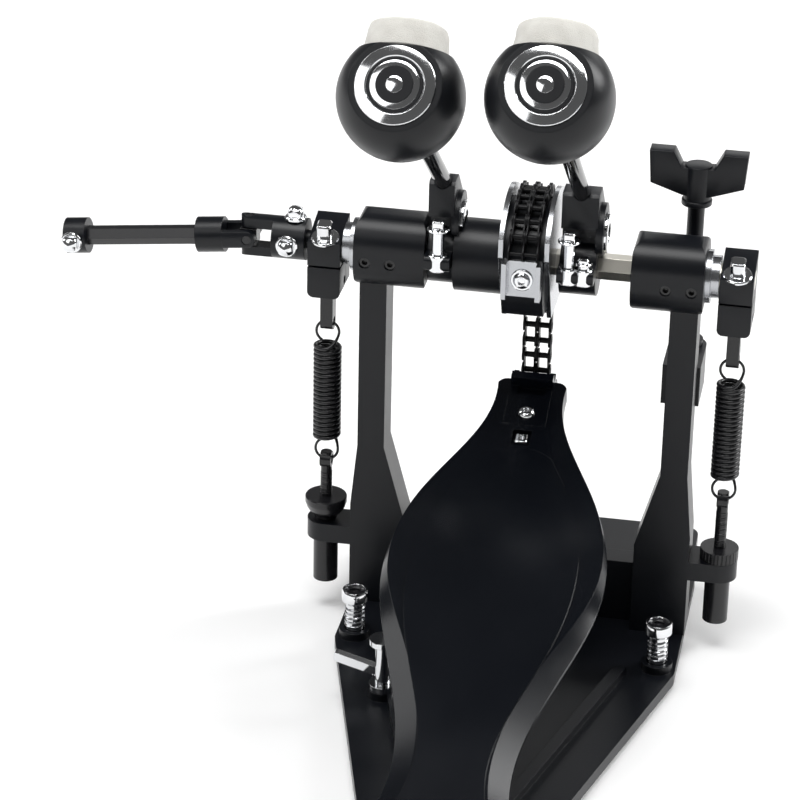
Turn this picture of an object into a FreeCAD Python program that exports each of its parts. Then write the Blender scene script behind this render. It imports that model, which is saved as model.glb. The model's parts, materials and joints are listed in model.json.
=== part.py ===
import FreeCAD, Part
import math
import os

# Primary unit of a double bass drum pedal. Millimetres, +X right along the axle,
# +Y towards the drum, +Z up, origin on the floor below the middle of the axle.

# Fits
RUN = 0.05            # radial running clearance of a shaft in its hole
SEAT = 0.03           # clearance of pieces that are clamped together
AIR = 0.5             # side clearance between turning pieces
SINK = 1.0            # overlap of solids that are fused

# Axle line and frame
AXLE_H = 195.0
HEAD_IN = 48.0        # inner face of a post head from the centre
HEAD_W = 33.5
HEAD_LOW = 17.5       # head below the axle
HEAD_HIGH = 17.5      # head above the axle
HEAD_D = 32.0
HEAD_ROUND = 14.0     # long edges of a head
HEAD_CORNER = 5.0     # its corners seen from the front
HEAD_SCREW_DROP = 2.7
HEAD_SCREW_IN = 16.2
HEAD_SCREW_STEP = 11.9
HEAD_SCREW_SINK = 1.0
POST_IN = 66.5
POST_W = 12.9
POST_D = 18.0
FOOT_OUT = 86.0       # outer face of a post at its foot
FOOT_RISE = 22.5      # outer face of the foot above the spring arm's underside
GUSSET_IN = 56.0
GUSSET_RISE = 16.5    # inner face of the foot
TAPER_RISE = 54.5     # where the foot's slopes end
BRIDGE_D = 12.0
BRIDGE_TOP = 41.0
BRIDGE_WINDOW = 17.0
BRIDGE_ROUND = 2.0

# Base
FEET_H = 3.0
BASE_T = 6.0
BASE_HALF = 82.0
BASE_FRONT = 58.0
BASE_CORNER = -46.0
BASE_TAIL_HALF = 37.0
BASE_TAIL = -262.0
BASE_TAPER_END = -208.0
BASE_ROUND = 8.0
RIB_H = 4.0
RIB_W = 6.0
RIB_EDGE = 5.0
RIB_IN = 21.0
FOOT_PAD_W = 22.0

# Heel hinge and footboard
HEEL_Y = -236.0
HEEL_Z = 24.0
HEEL_PIN_R = 3.0
KNUCKLE_R = 7.0
KNUCKLE_HALF = 23.0
EAR_T = 10.0
HEEL_BLOCK_GAP = 2.5
HEEL_BLOCK_TOP = 27.0
TOE_GAP = 7.5         # board's toe edge behind the chain
TOE_Z = 118.0
BOARD_T = 7.0
PANEL_T = 0.8
PANEL_BACK = 45.0     # raised panel's end, from the toe
PANEL_ROUND = 25.0
BOARD_LIP = 2.0       # upright part of the board's edge, under the bevel
SHOULDER_ROUND = 5.0
WINDOW_BACK = 38.5    # window behind the clip
WINDOW_W = 9.0
WINDOW_L = 10.0
WINDOW_DEEP = 3.0
SHOULDER = 17.5       # half widths of the board, from toe to heel
NECK = 19.0
MIDDLE = 43.5
BROAD = 51.0
BACK = 42.0
WAIST = 27.0
HEEL_HALF = 34.0

# Chain, cam and toe clip
PITCH = 8.0
CHAIN_R = 33.0
ROLLER_R = 2.5
LINK_HALF = 3.5
LINK_T = 1.3
CHAIN_W = 14.3
PEEL_LINKS = 2        # links in each pair that peels off the cam
WRAP_LINKS = 7        # links that stay on the cam
LINK_TRIM = 0.9       # link plates stop short of the pins between groups
CHAIN_GAP = 0.3       # chain clear of the cam's rim
CAM_W = 19.0
CAM_FLAT = 28.6       # flat for the chain anchor, towards the player
CAM_LOW = 18.0
PLATE_R = 35.5
PLATE_T = 2.2
PLATE_LOW = 24.0
ANCHOR_T = 2.2
ANCHOR_W = 18.0
ANCHOR_LOW = -5.5
ANCHOR_TOP = 12.0
ANCHOR_FLANGE = 5.0
ANCHOR_SCREW_Z = 3.0
ANCHOR_SCREW_R = 3.0
ANCHOR_SCREW_L = 14.0
ANCHOR_HEAD_R = 5.2
ANCHOR_HEAD_T = 2.5
PLATE_FOOT = 10.0     # front of the plates at their underside
CLIP_T = 2.5
CLIP_BACK = 30.0
CLIP_SCREW_BACK = 22.0
TOE_PIN_UP = -3.0     # toe pin above the middle of the board's toe edge
TAB_T = 4.5
TAB_RISE = 5.5        # tab at the toe, over the clip's plate
TAB_SLOT_W = 13.0
TAB_SLOT_L = 5.0
TAB_SLOT_DEEP = 1.2
TOE_PIN_R = 1.6

# Shafts
HEX_AF = 10.7
JOURNAL_R = 5.0       # round end of the hex shaft in the sleeve
BEARING_R = 11.0
BEARING_FLANGE_R = 12.5
BEARING_FLANGE_T = 2.6
BEARING_STEP_R = 10.0
BEARING_STEP_T = 3.85
SHAFT_R = 6.5         # round journals in the post bearings
SHAFT_END_R = 4.5     # thinner ends in the spring hubs
SLEEVE_R = 17.2
SLEEVE_IN = -12.6
SLEEVE_OUT = -34.7
SLEEVE_NECK_R = 9.0
SLEEVE_BORE_DEPTH = 20.0

# Spring hubs, springs and tension rods
HUB_W = 15.5
HUB_HALF_D = 12.0
HUB_LOW = 24.3
HUB_HIGH = 10.0       # back of the sloping top
HUB_FRONT_HIGH = 3.5
HUB_ROUND = 3.0
HUB_SLIT_Z = -8.5
HUB_SLIT = 1.0
HUB_SCREW_L = 2.2
HUB_SCREW_Y = -8.0    # in front of the shaft
KEY_HEAD_R = 3.9      # drum-key head
KEY_FLANGE_R = 6.8
KEY_HEAD_T = 9.0
PIVOT_DROP = 19.0
PIVOT_R = 2.0
LINK_W = 6.0
LINK_D = 8.0
LINK_EYE_DROP = 22.0  # spring hole below the pivot
EYE_R = 2.4
WIRE = 1.6
COIL_R = 6.2
COIL_TURNS = 20.5
COIL_L = 48.5
HOOK_R = 5.5
HOOK_RISE = 7.0       # ring centre beyond the coil's end
TENSION_R = 2.7
NUT_R = 9.2
NUT_T = 5.6
KNURLS = 28
ARM_D = 18.0
ARM_T_LEFT = 15.5
ARM_T_RIGHT = 9.5
ROD_SHOW = 41.0       # lower spring ring above the arms' underside
BARREL_R = 6.0
BARREL_L = 24.0
BARREL_END = 2.0
NUT_GAP = 0.2         # under a nut or head that turns

# Beaters
ROD_R = 4.0
ROD_OFFSET = 33.0     # rod's height above the axle, on the axle's plane
ROD_TAIL = 24.0
LEAN_LEFT = 55.0      # degrees
LEAN_RIGHT = 54.0     # degrees
SPLAY_LEFT = 0.6      # left rod leans to the middle, degrees
BEATER_LEFT_X = -41.2
BEATER_RIGHT_X = 23.0
HOLDER_LEFT_W = 12.0
HOLDER_RIGHT_W = 17.0
CHEEK_W = 2.4
CHEEK_R = 12.5
CHEEK_Z = 18.5        # centre of the round cheek above the axle
REACH_LEFT = 161.0    # ball's middle along the rod
REACH_RIGHT = 168.0
BALL_R = 27.0
BALL_SOCKET = 14.0
PAD_R = 18.4
PAD_SEAT = 17.6
PAD_T = 14.0
PAD_ROUND = 5.0
BADGE_SEAT = 18.8
BADGE_R = 16.9
BADGE_T = 1.5
HOLDER_FRONT = 11.5
HOLDER_NECK = 5.0     # neck in front of the axle, under the block
HOLDER_STEP = 22.0    # block's underside above the axle
HOLDER_BACK = 14.0
HOLDER_TOP = 39.5
HOLDER_EDGE = 1.5     # small slope at the block's upper front edge
HOLDER_R = 14.0
CLAMP_SCREW_R = 2.6
CLAMP_SCREW_L = 22.0
CLAMP_HEAD_R = 4.2
CLAMP_HEAD_T = 4.0
CLAMP_BOSS = 8.2
CLAMP_LUG_T = 7.0
CLAMP_STEP = 7.0
CLAMP_RISE = 18.5     # under a clamp screw's head, above the axle
CLAMP_DROP = 10.5     # second screw below the first
LUG_LEFT_Z = -1.0     # underside of a lug from the axle
LUG_RIGHT_Z = -1.5

# Drive shaft and its universal joint
JOINT_X = -134.0
SHAFT_DROOP = 6.0     # degrees below the axle's line
YOKE_R = 10.0
YOKE_END = -106.2
EAR_HALF = 4.6        # half gap between a yoke's ears
FORK_L = 12.0         # a fork's root from the middle of the cross
EAR_W = 8.0
FORK_R = 8.6
CROSS_HALF = 4.0
CROSS_PIN_R = 2.2
SOCKET_L = 13.0
SOCKET_R = 8.4
BAR_AF = 8.0
BAR_L = 57.0
COLLAR_L = 10.5
COLLAR_R = 8.5
COLLAR_BORE_R = 5.0
COLLAR_BAR = 3.0      # bar's depth in the collar
BOLT_HEAD_R = 5.2
BOLT_HEAD_T = 6.5

# Hoop clamp, wing screw and spurs
HANDLE_EDGE = 10.0    # handle in from the base's edge
HANDLE_Y = 35.0
HANDLE_R = 4.0
HANDLE_TOP = 235.5
HANDLE_BOSS_R = 6.4
HANDLE_BOSS_L = 17.0
HANDLE_FOOT_R = 7.2
HANDLE_FOOT_T = 2.6
HANDLE_WING = 23.0    # half span of the wings
HANDLE_WING_T = 9.0
GUIDE_Z = 124.0
GUIDE_T = 20.0
GUIDE_R = 9.0
JAW_LEFT = -36.0
JAW_BACK = 24.0
JAW_LOW = 27.0
JAW_T = 10.0
JAW_PIN_X = -26.0
JAW_PIN_TOP = 62.0
HOOP_PAD_T = 2.0
HOOP_PAD_BACK = 44.0
HOOP_PAD_HALF = 30.0
SPUR_EDGE = 9.0       # spur screw in from the base's edge
SPUR_Y = -42.0
SPUR_R = 4.8
SPUR_HEAD_R = 6.4
SPUR_HEAD_T = 6.0
SPUR_TOP = 34.0
SPUR_BOSS_R = 7.5
SPUR_BOSS_H = 4.0
WING_IN = 32.6        # wing screw in from the base's edge
WING_Y = -94.0
WING_BOSS_R = 7.0
WING_BOSS_H = 4.0
WING_SHANK_R = 2.8
WING_HUB_R = 3.6
WING_FLANGE_R = 6.4
WING_FLANGE_T = 2.6
WING_HUB_L = 26.0
WING_SPAN = 23.0      # one wing, from the screw's axis
WING_T = 4.0
WING_RISE = 6.0       # wing above the boss, at the hub
WING_DEEP = 4.5
WING_UP = 6.5         # outer end of a wing above its inner end

V = FreeCAD.Vector
XX = V(1, 0, 0)
YY = V(0, 1, 0)
ZZ = V(0, 0, 1)
BASE_TOP = FEET_H + BASE_T
AXLE = V(0, 0, AXLE_H)
SIDES = {"left": -1, "right": 1}
TOE_Y = CHAIN_R - TOE_GAP
SPUR_X = BASE_HALF - SPUR_EDGE
LEAN = {"left": LEAN_LEFT, "right": LEAN_RIGHT}
SPLAY = {"left": SPLAY_LEFT, "right": 0.0}
REACH = {"left": REACH_LEFT, "right": REACH_RIGHT}
BEATER_X = {"left": BEATER_LEFT_X, "right": BEATER_RIGHT_X}
HOLDER_W = {"left": HOLDER_LEFT_W, "right": HOLDER_RIGHT_W}
ARM_T = {"left": ARM_T_LEFT, "right": ARM_T_RIGHT}
LUG_Z = {"left": LUG_LEFT_Z, "right": LUG_RIGHT_Z}
HANDLE_X = BASE_HALF - HANDLE_EDGE
WING_X = WING_IN - BASE_HALF


def box(x0, x1, y0, y1, z0, z1):
    return Part.makeBox(x1 - x0, y1 - y0, z1 - z0, V(x0, y0, z0))


def cyl(start, axis, radius, length):
    return Part.makeCylinder(radius, length, start, axis)


def tube(start, axis, radius, bore, length):
    return cyl(start, axis, radius, length).cut(cyl(start, axis, bore, length))


def prism(points, direction):
    wire = Part.makePolygon(points + [points[0]])
    return Part.Face(wire).extrude(direction)


def side_prism(yz, x0, x1):
    return prism([V(x0, y, z) for y, z in yz], V(x1 - x0, 0, 0))


def front_prism(xz, y0, y1):
    return prism([V(x, y0, z) for x, z in xz], V(0, y1 - y0, 0))


def plan_prism(xy, z0, z1):
    return prism([V(x, y, z0) for x, y in xy], V(0, 0, z1 - z0))


def hex_bar(start, axis, flats, length):
    # a flat faces up: the first corner lies along +Y
    corner = flats / math.sqrt(3)
    points = []
    for k in range(6):
        a = math.radians(60 * k)
        points.append(V(0, corner * math.cos(a), corner * math.sin(a)) + V(start))
    return prism(points, V(axis).multiply(length))


def rounded(shape, axis, radius):
    # fillets the straight edges that run along an axis
    edges = []
    for edge in shape.Edges:
        if edge.Curve.TypeId == "Part::GeomLine":
            if abs(edge.tangentAt(edge.FirstParameter).dot(axis)) > 0.999:
                edges.append(edge)
    return shape.makeFillet(radius, edges)


def flipped(shape):
    return shape.mirror(V(0, 0, 0), XX)


def on_side(side, shape):
    return shape if side == "right" else flipped(shape)


def save(name, *shapes):
    solids = [solid for shape in shapes for solid in shape.Solids]
    shape = solids[0] if len(solids) == 1 else Part.makeCompound(solids)
    shape.exportStep("parts/" + name + ".step")


def turned(shape, degrees, centre, axis):
    copy = shape.copy()
    copy.rotate(centre, axis, degrees)
    return copy


def slotted_screw(start, axis, shank_r, shank_l, head_r, head_t):
    # start is under the head, axis points out of the head
    back = V(axis).multiply(-shank_l)
    shank = cyl(start + back, axis, shank_r, shank_l)
    return shank.fuse(cyl(start, axis, head_r, head_t)).removeSplitter()


# Base plate on its feet
def base_edge(y):
    share = (y - BASE_CORNER) / (BASE_TAPER_END - BASE_CORNER)
    return BASE_HALF + share * (BASE_TAIL_HALF - BASE_HALF)


def base_rib(offset):
    near = BASE_CORNER - RIB_EDGE
    far = BASE_TAPER_END + RIB_EDGE
    outline = [(base_edge(near) - offset, near), (base_edge(far) - offset, far),
               (base_edge(far) - offset - RIB_W, far), (base_edge(near) - offset - RIB_W, near)]
    return plan_prism(outline, BASE_TOP - 1, BASE_TOP + RIB_H)


def spur_place(side):
    return V(SIDES[side] * SPUR_X, SPUR_Y, 0)


def base_plate():
    right = [(BASE_HALF, BASE_FRONT), (BASE_HALF, BASE_CORNER),
             (BASE_TAIL_HALF, BASE_TAPER_END), (BASE_TAIL_HALF, BASE_TAIL)]
    outline = right + [(-x, y) for x, y in reversed(right)]
    plate = rounded(plan_prism(outline, FEET_H, BASE_TOP), ZZ, BASE_ROUND)
    rib = base_rib(RIB_IN)
    plate = plate.fuse([rib, flipped(rib)])
    for side in SIDES:
        place = spur_place(side)
        plate = plate.fuse(cyl(place + V(0, 0, FEET_H), ZZ, SPUR_BOSS_R, BASE_T + SPUR_BOSS_H))
        plate = plate.cut(cyl(place, ZZ, SPUR_R + RUN, 2 * BASE_TOP))
    place = V(WING_X, WING_Y, FEET_H)
    plate = plate.fuse(cyl(place, ZZ, WING_BOSS_R, BASE_T + WING_BOSS_H))
    plate = plate.cut(cyl(place, ZZ, WING_SHANK_R + RUN, BASE_T + WING_BOSS_H))
    for x in (HANDLE_X, JAW_PIN_X):
        plate = plate.cut(cyl(V(x, HANDLE_Y, FEET_H + BASE_T / 2), ZZ, HANDLE_R + RUN, BASE_T))
    return plate.removeSplitter()


def rubber_feet():
    half = FOOT_PAD_W / 2
    front = box(-BASE_HALF + BASE_ROUND, BASE_HALF - BASE_ROUND, BASE_FRONT - BASE_ROUND - FOOT_PAD_W,
                BASE_FRONT - BASE_ROUND, 0, FEET_H)
    middle = box(-BASE_TAIL_HALF, BASE_TAIL_HALF, -half, half, 0, FEET_H)
    tail = box(-BASE_TAIL_HALF + BASE_ROUND, BASE_TAIL_HALF - BASE_ROUND, BASE_TAIL + BASE_ROUND,
               BASE_TAIL + BASE_ROUND + FOOT_PAD_W, 0, FEET_H)
    return [front, middle, tail]


# Posts with their heads, gussets and spring arms
def post(side):
    half = POST_D / 2
    out = POST_IN + POST_W
    slope_end = arm_low() + TAPER_RISE
    outline = [(POST_IN, AXLE_H), (POST_IN, slope_end), (GUSSET_IN, arm_low() + GUSSET_RISE), (GUSSET_IN, BASE_TOP),
               (FOOT_OUT, BASE_TOP), (FOOT_OUT, arm_low() + FOOT_RISE), (out, slope_end), (out, AXLE_H)]
    body = front_prism(outline, -half, half)
    head = box(HEAD_IN, HEAD_IN + HEAD_W, -HEAD_D / 2, HEAD_D / 2, AXLE_H - HEAD_LOW, AXLE_H + HEAD_HIGH)
    body = body.fuse(rounded(head, XX, HEAD_ROUND).common(rounded(head, YY, HEAD_CORNER)))
    rod_x = spring_x("right")
    arm = box(FOOT_OUT - SINK, rod_x, -ARM_D / 2, ARM_D / 2, arm_low(), arm_top(side))
    body = body.fuse([arm, cyl(V(rod_x, 0, arm_low()), ZZ, ARM_D / 2, ARM_T[side])])
    if side == "right":
        guide = cyl(V(HANDLE_X, HANDLE_Y, GUIDE_Z), ZZ, GUIDE_R, GUIDE_T)
        web = box(HANDLE_X - GUIDE_R, HANDLE_X + GUIDE_R, half - SINK, HANDLE_Y, GUIDE_Z, GUIDE_Z + GUIDE_T)
        body = body.fuse([guide, web])
        body = body.cut(cyl(V(HANDLE_X, HANDLE_Y, GUIDE_Z), ZZ, HANDLE_R + RUN, GUIDE_T))
    body = body.cut(cyl(V(HEAD_IN, 0, AXLE_H), XX, BEARING_R + SEAT, HEAD_W))
    body = body.cut(cyl(V(spring_x("right"), 0, arm_low()), ZZ, TENSION_R + SEAT, ARM_T[side]))
    for screw in head_screw_places():
        sunk = V(0, HEAD_SCREW_SINK, 0)
        body = body.cut(cyl(screw - sunk, YY, CLAMP_SCREW_R + SEAT, HEAD_D / 2))
    return on_side(side, body.removeSplitter())


def head_screw_places():
    face = -HEAD_D / 2 + HEAD_SCREW_SINK
    return [V(HEAD_IN + HEAD_SCREW_IN + k * HEAD_SCREW_STEP, face, AXLE_H - HEAD_SCREW_DROP) for k in range(2)]


def head_screws(side):
    # grub screws that pinch the bearing, their sockets just below the face
    screws = []
    for place in head_screw_places():
        nearest = max(0, HEAD_SCREW_DROP - CLAMP_SCREW_R)
        depth = HEAD_D / 2 - HEAD_SCREW_SINK - math.sqrt((BEARING_R + SEAT) ** 2 - nearest ** 2)
        grub = cyl(place, YY, CLAMP_SCREW_R, depth)
        screws.append(grub.cut(cyl(place, YY, CLAMP_SCREW_R / 2, depth / 2)))
    return [on_side(side, screw) for screw in screws]


def toe_bridge():
    web = box(-GUSSET_IN, GUSSET_IN, 0, BRIDGE_D, BASE_TOP, BRIDGE_TOP)
    edge = (BRIDGE_TOP - BASE_TOP - BRIDGE_WINDOW) / 2
    window = box(-GUSSET_IN / 2, GUSSET_IN / 2, 0, BRIDGE_D, BASE_TOP + edge, BRIDGE_TOP - edge)
    return web.cut(rounded(window, YY, BRIDGE_ROUND))


def bearing(side):
    start = V(HEAD_IN, 0, AXLE_H)
    ring = cyl(start, XX, BEARING_R, HEAD_W)
    flange = start + V(HEAD_W, 0, 0)
    ring = ring.fuse(cyl(flange, XX, BEARING_FLANGE_R, BEARING_FLANGE_T))
    step = flange + V(BEARING_FLANGE_T, 0, 0)
    ring = ring.fuse(cyl(step, XX, BEARING_STEP_R, BEARING_STEP_T))
    whole = HEAD_W + BEARING_FLANGE_T + BEARING_STEP_T
    return on_side(side, ring.cut(cyl(start, XX, SHAFT_R + RUN, whole)).removeSplitter())


# Heel hinge
def heel_block():
    ear_in = KNUCKLE_HALF + AIR
    top_y = HEEL_Y - KNUCKLE_R - HEEL_BLOCK_GAP
    block = box(-ear_in - EAR_T, ear_in + EAR_T, BASE_TAIL + 2, top_y, BASE_TOP, HEEL_BLOCK_TOP)
    for sign in (-1, 1):
        x0 = min(sign * ear_in, sign * (ear_in + EAR_T))
        ear = box(x0, x0 + EAR_T, top_y - 1, HEEL_Y, BASE_TOP, HEEL_Z + KNUCKLE_R)
        ear = ear.fuse(box(x0, x0 + EAR_T, HEEL_Y, HEEL_Y + KNUCKLE_R, BASE_TOP, HEEL_Z))
        ear = ear.fuse(cyl(V(x0, HEEL_Y, HEEL_Z), XX, KNUCKLE_R, EAR_T))
        block = block.fuse(ear)
    bore = cyl(V(-ear_in - EAR_T, HEEL_Y, HEEL_Z), XX, HEEL_PIN_R + SEAT, 2 * (ear_in + EAR_T))
    return block.cut(bore).removeSplitter()


def heel_pin():
    half = KNUCKLE_HALF + AIR + EAR_T
    return cyl(V(-half, HEEL_Y, HEEL_Z), XX, HEEL_PIN_R, 2 * half)


# Footboard, drawn flat with the hinge at its origin and then raised
BOARD_L = math.hypot(TOE_Y - HEEL_Y, TOE_Z - HEEL_Z)
BOARD_RISE = math.degrees(math.atan2(TOE_Z - HEEL_Z, TOE_Y - HEEL_Y))


def raised(shape):
    copy = shape.copy()
    copy.rotate(V(0, 0, 0), XX, BOARD_RISE)
    copy.translate(V(0, HEEL_Y, HEEL_Z))
    return copy


# Along the board from the heel, in shares of its length: the bevel narrows toward the toe, and the raised
# panel meets it near the heel
BOARD_SHARES = (0.0, 0.17, 0.38, 0.53, 0.70, 0.90, 1.0)
BOARD_HALVES = (HEEL_HALF, WAIST, BACK, BROAD, MIDDLE, NECK, SHOULDER)
SQUARE = (0, 0, 0, 0, 0, 0, 0)
BEVEL = (9.0, 9.5, 8.5, 3.0, 1.0, 0.5, 0.5)
PANEL_EDGE = (9.8, 10.3, 9.6, 12.5, 12.5, 12.5, 12.5)


def board_outline(insets, z):
    heel = KNUCKLE_R + AIR
    rows = zip(BOARD_SHARES, BOARD_HALVES, insets)
    side = [V(half - inset, heel + share * (BOARD_L - heel), z) for share, half, inset in rows]
    curve = Part.BSplineCurve()
    curve.interpolate(side)
    left = curve.toShape().mirror(V(0, 0, 0), XX)
    front = Part.makeLine(side[-1], V(-side[-1].x, side[-1].y, z))
    back = Part.makeLine(side[0], V(-side[0].x, heel, z))
    return Part.Wire(Part.__sortEdges__([curve.toShape(), front, left, back]))


def board_panel():
    top = BOARD_T / 2
    end = BOARD_L - PANEL_BACK - PANEL_ROUND
    panel = Part.Face(board_outline(PANEL_EDGE, top - 0.5)).extrude(V(0, 0, PANEL_T + 0.5))
    room = box(-BROAD, BROAD, 0, end, top - 1, top + 1 + PANEL_T)
    room = room.fuse(cyl(V(0, end, top - 1), ZZ, PANEL_ROUND, 2 + PANEL_T))
    return panel.common(room)


def footboard():
    heel = KNUCKLE_R + AIR
    low = -BOARD_T / 2
    top = BOARD_T / 2
    slab = Part.Face(board_outline(SQUARE, low)).extrude(V(0, 0, BOARD_LIP))
    slab = slab.fuse(Part.makeLoft([board_outline(SQUARE, low + BOARD_LIP), board_outline(BEVEL, top)], True, True))
    plan = rounded(Part.Face(board_outline(SQUARE, low)).extrude(V(0, 0, BOARD_T)), ZZ, SHOULDER_ROUND)
    slab = slab.common(plan).fuse(board_panel())
    knuckle = cyl(V(-KNUCKLE_HALF, 0, 0), XX, KNUCKLE_R, 2 * KNUCKLE_HALF)
    neck = box(-KNUCKLE_HALF, KNUCKLE_HALF, 0, heel + 1, low, top)
    slab = slab.fuse([knuckle, neck])
    slab = slab.cut(cyl(V(-KNUCKLE_HALF, 0, 0), XX, HEEL_PIN_R + RUN, 2 * KNUCKLE_HALF))
    slab = slab.cut(cyl(V(0, BOARD_L - CLIP_SCREW_BACK, -BOARD_T), ZZ, CLAMP_SCREW_R + SEAT, 2 * BOARD_T))
    half = clip_half() + SEAT
    slab = slab.cut(box(-half, half, BOARD_L - CLIP_BACK - SEAT, BOARD_L, top - CLIP_T, top + 1))
    near = BOARD_L - WINDOW_BACK - WINDOW_L / 2
    window = box(-WINDOW_W / 2, WINDOW_W / 2, near, near + WINDOW_L, top - WINDOW_DEEP, top + 1 + PANEL_T)
    return raised(slab.cut(window).removeSplitter())


def clip_half():
    return CHAIN_W / 2 + AIR + CLIP_T


def toe_pin_flat():
    # toe pin in the board's flat frame, straight below the chain's run
    rise = math.radians(BOARD_RISE)
    dy = CHAIN_R - HEEL_Y
    dz = TOE_Z + TOE_PIN_UP - HEEL_Z
    return V(0, dy * math.cos(rise) + dz * math.sin(rise), dz * math.cos(rise) - dy * math.sin(rise))


def toe_clip():
    # its plate lies flush in the board's pocket
    pin = toe_pin_flat()
    outer = clip_half()
    inner = outer - CLIP_T
    top = BOARD_T / 2
    low = top - CLIP_T
    plate = box(-outer, outer, BOARD_L - CLIP_BACK, BOARD_L + 1, low, top)
    plate = plate.fuse(box(-outer, outer, BOARD_L - TAB_T, BOARD_L, low, top + TAB_RISE))
    back = BOARD_L - TAB_T
    plate = plate.cut(box(-TAB_SLOT_W / 2, TAB_SLOT_W / 2, back - TAB_SLOT_L, back, top - TAB_SLOT_DEEP, top))
    for sign in (-1, 1):
        x0 = min(sign * inner, sign * outer)
        cheek = box(x0, x0 + CLIP_T, BOARD_L, pin.y, pin.z - LINK_HALF, top)
        eye = cyl(V(x0, pin.y, pin.z), XX, LINK_HALF, CLIP_T)
        plate = plate.fuse([cheek, eye])
    plate = plate.cut(cyl(V(-outer, pin.y, pin.z), XX, TOE_PIN_R + SEAT, 2 * outer))
    plate = plate.cut(cyl(V(0, BOARD_L - CLIP_SCREW_BACK, 0), ZZ, CLAMP_SCREW_R + SEAT, BOARD_T))
    return raised(plate.removeSplitter())


def toe_pin():
    pin = toe_pin_flat()
    return raised(cyl(V(-clip_half(), pin.y, pin.z), XX, TOE_PIN_R, 2 * clip_half()))


def toe_screw():
    top = V(0, BOARD_L - CLIP_SCREW_BACK, BOARD_T / 2)
    return raised(slotted_screw(top, ZZ, CLAMP_SCREW_R, BOARD_T, CLAMP_HEAD_R, CLAMP_HEAD_T / 2))


# Two-row chain in four groups of links: the wrap on the cam, two pairs that peel off it, and the run
def link_rows():
    half = CHAIN_W / 2
    return (-half, -LINK_T / 2, half - LINK_T)


def roller(y, z):
    # one roller in each of the two rows, between the link plates
    gap = CHAIN_W / 2 - 1.5 * LINK_T
    return [cyl(V(x, y, z), XX, ROLLER_R, gap) for x in (LINK_T / 2 - CHAIN_W / 2 + LINK_T / 2, LINK_T / 2)]


def pin_step():
    return math.degrees(2 * math.asin(PITCH / 2 / CHAIN_R))


def chain_pin(k):
    angle = math.radians(k * pin_step())
    return CHAIN_R * math.cos(angle), AXLE_H + CHAIN_R * math.sin(angle)


def chain_arc(low_pin, high_pin):
    # link plates between two pins of the wrap, with the rollers above the low pin
    trim = math.degrees(LINK_TRIM / CHAIN_R)
    start = low_pin * pin_step() + trim
    sweep = (high_pin - low_pin) * pin_step() - 2 * trim
    pieces = []
    for x in link_rows():
        row = tube(V(x, 0, AXLE_H), XX, CHAIN_R + LINK_HALF, CHAIN_R - LINK_HALF, LINK_T)
        wedge = Part.makeCylinder(2 * CHAIN_R, LINK_T, V(x, 0, AXLE_H), XX, sweep)
        pieces.append(row.common(turned(wedge, start + cylinder_start(), AXLE, XX)))
    for k in range(low_pin + 1, high_pin + 1):
        pieces += roller(*chain_pin(k))
    return pieces[0].fuse(pieces[1:]).removeSplitter()


def chain_run():
    # stops one link short of the toe pin, where the linkage is open
    count = int(round((AXLE_H - TOE_Z - TOE_PIN_UP) / PITCH)) - 1
    low = AXLE_H - count * PITCH
    pieces = []
    for x in link_rows():
        row = box(x, x + LINK_T, CHAIN_R - LINK_HALF, CHAIN_R + LINK_HALF, low, AXLE_H - LINK_TRIM)
        pieces.append(row.fuse(cyl(V(x, CHAIN_R, low), XX, LINK_HALF, LINK_T)))
    for k in range(count + 1):
        pieces += roller(CHAIN_R, AXLE_H - k * PITCH)
    return pieces[0].fuse(pieces[1:]).removeSplitter()


def cylinder_start():
    # turn that brings a part cylinder's own start angle to the drum side
    start = Part.makeCylinder(1, 1, V(0, 0, 0), XX, 1).CenterOfMass
    return -math.degrees(math.atan2(start.z, start.y))


# Cam
def cam_disc(radius, low, half_w):
    disc = cyl(V(-half_w, 0, AXLE_H), XX, radius, 2 * half_w)
    keep = box(-half_w, half_w, -CAM_FLAT, radius, AXLE_H - low, AXLE_H + radius)
    return disc.common(keep).cut(hex_bar(V(-half_w, 0, AXLE_H), XX, HEX_AF + 2 * SEAT, 2 * half_w))


def cam_wheel():
    wheel = cam_disc(CHAIN_R - LINK_HALF - CHAIN_GAP, CAM_LOW, CAM_W / 2)
    hole = cyl(V(0, -CAM_FLAT, AXLE_H + ANCHOR_SCREW_Z), YY, ANCHOR_SCREW_R + SEAT, ANCHOR_SCREW_L)
    return wheel.cut(hole)


def cam_plates():
    plate = cam_disc(PLATE_R, PLATE_LOW, PLATE_T / 2)
    low = AXLE_H - PLATE_LOW - SINK
    corner = [(-PLATE_R, AXLE_H + ANCHOR_TOP), (-CAM_FLAT, AXLE_H + ANCHOR_TOP), (-PLATE_FOOT, low), (-PLATE_R, low)]
    plate = plate.cut(side_prism(corner, -PLATE_T / 2, PLATE_T / 2))
    plates = []
    for sign in (-1, 1):
        copy = plate.copy()
        copy.translate(V(sign * (CAM_W / 2 + PLATE_T / 2), 0, 0))
        plates.append(copy)
    return plates


def chain_anchor():
    half = ANCHOR_W / 2
    front = -CAM_FLAT - ANCHOR_T
    low = AXLE_H + ANCHOR_LOW
    top = AXLE_H + ANCHOR_TOP
    back = box(-half, half, front, -CAM_FLAT, low, top)
    for sign in (-1, 1):
        x0 = min(sign * half, sign * (half - ANCHOR_T))
        back = back.fuse(box(x0, x0 + ANCHOR_T, front - ANCHOR_FLANGE, front, low, top))
    hole = cyl(V(0, front, AXLE_H + ANCHOR_SCREW_Z), YY, ANCHOR_SCREW_R + SEAT, ANCHOR_T)
    return back.cut(hole).removeSplitter()


def anchor_screw():
    place = V(0, -CAM_FLAT - ANCHOR_T, AXLE_H + ANCHOR_SCREW_Z)
    shank = ANCHOR_T + ANCHOR_SCREW_L - 1
    return slotted_screw(place, V(0, -1, 0), ANCHOR_SCREW_R, shank, ANCHOR_HEAD_R, ANCHOR_HEAD_T)


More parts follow.
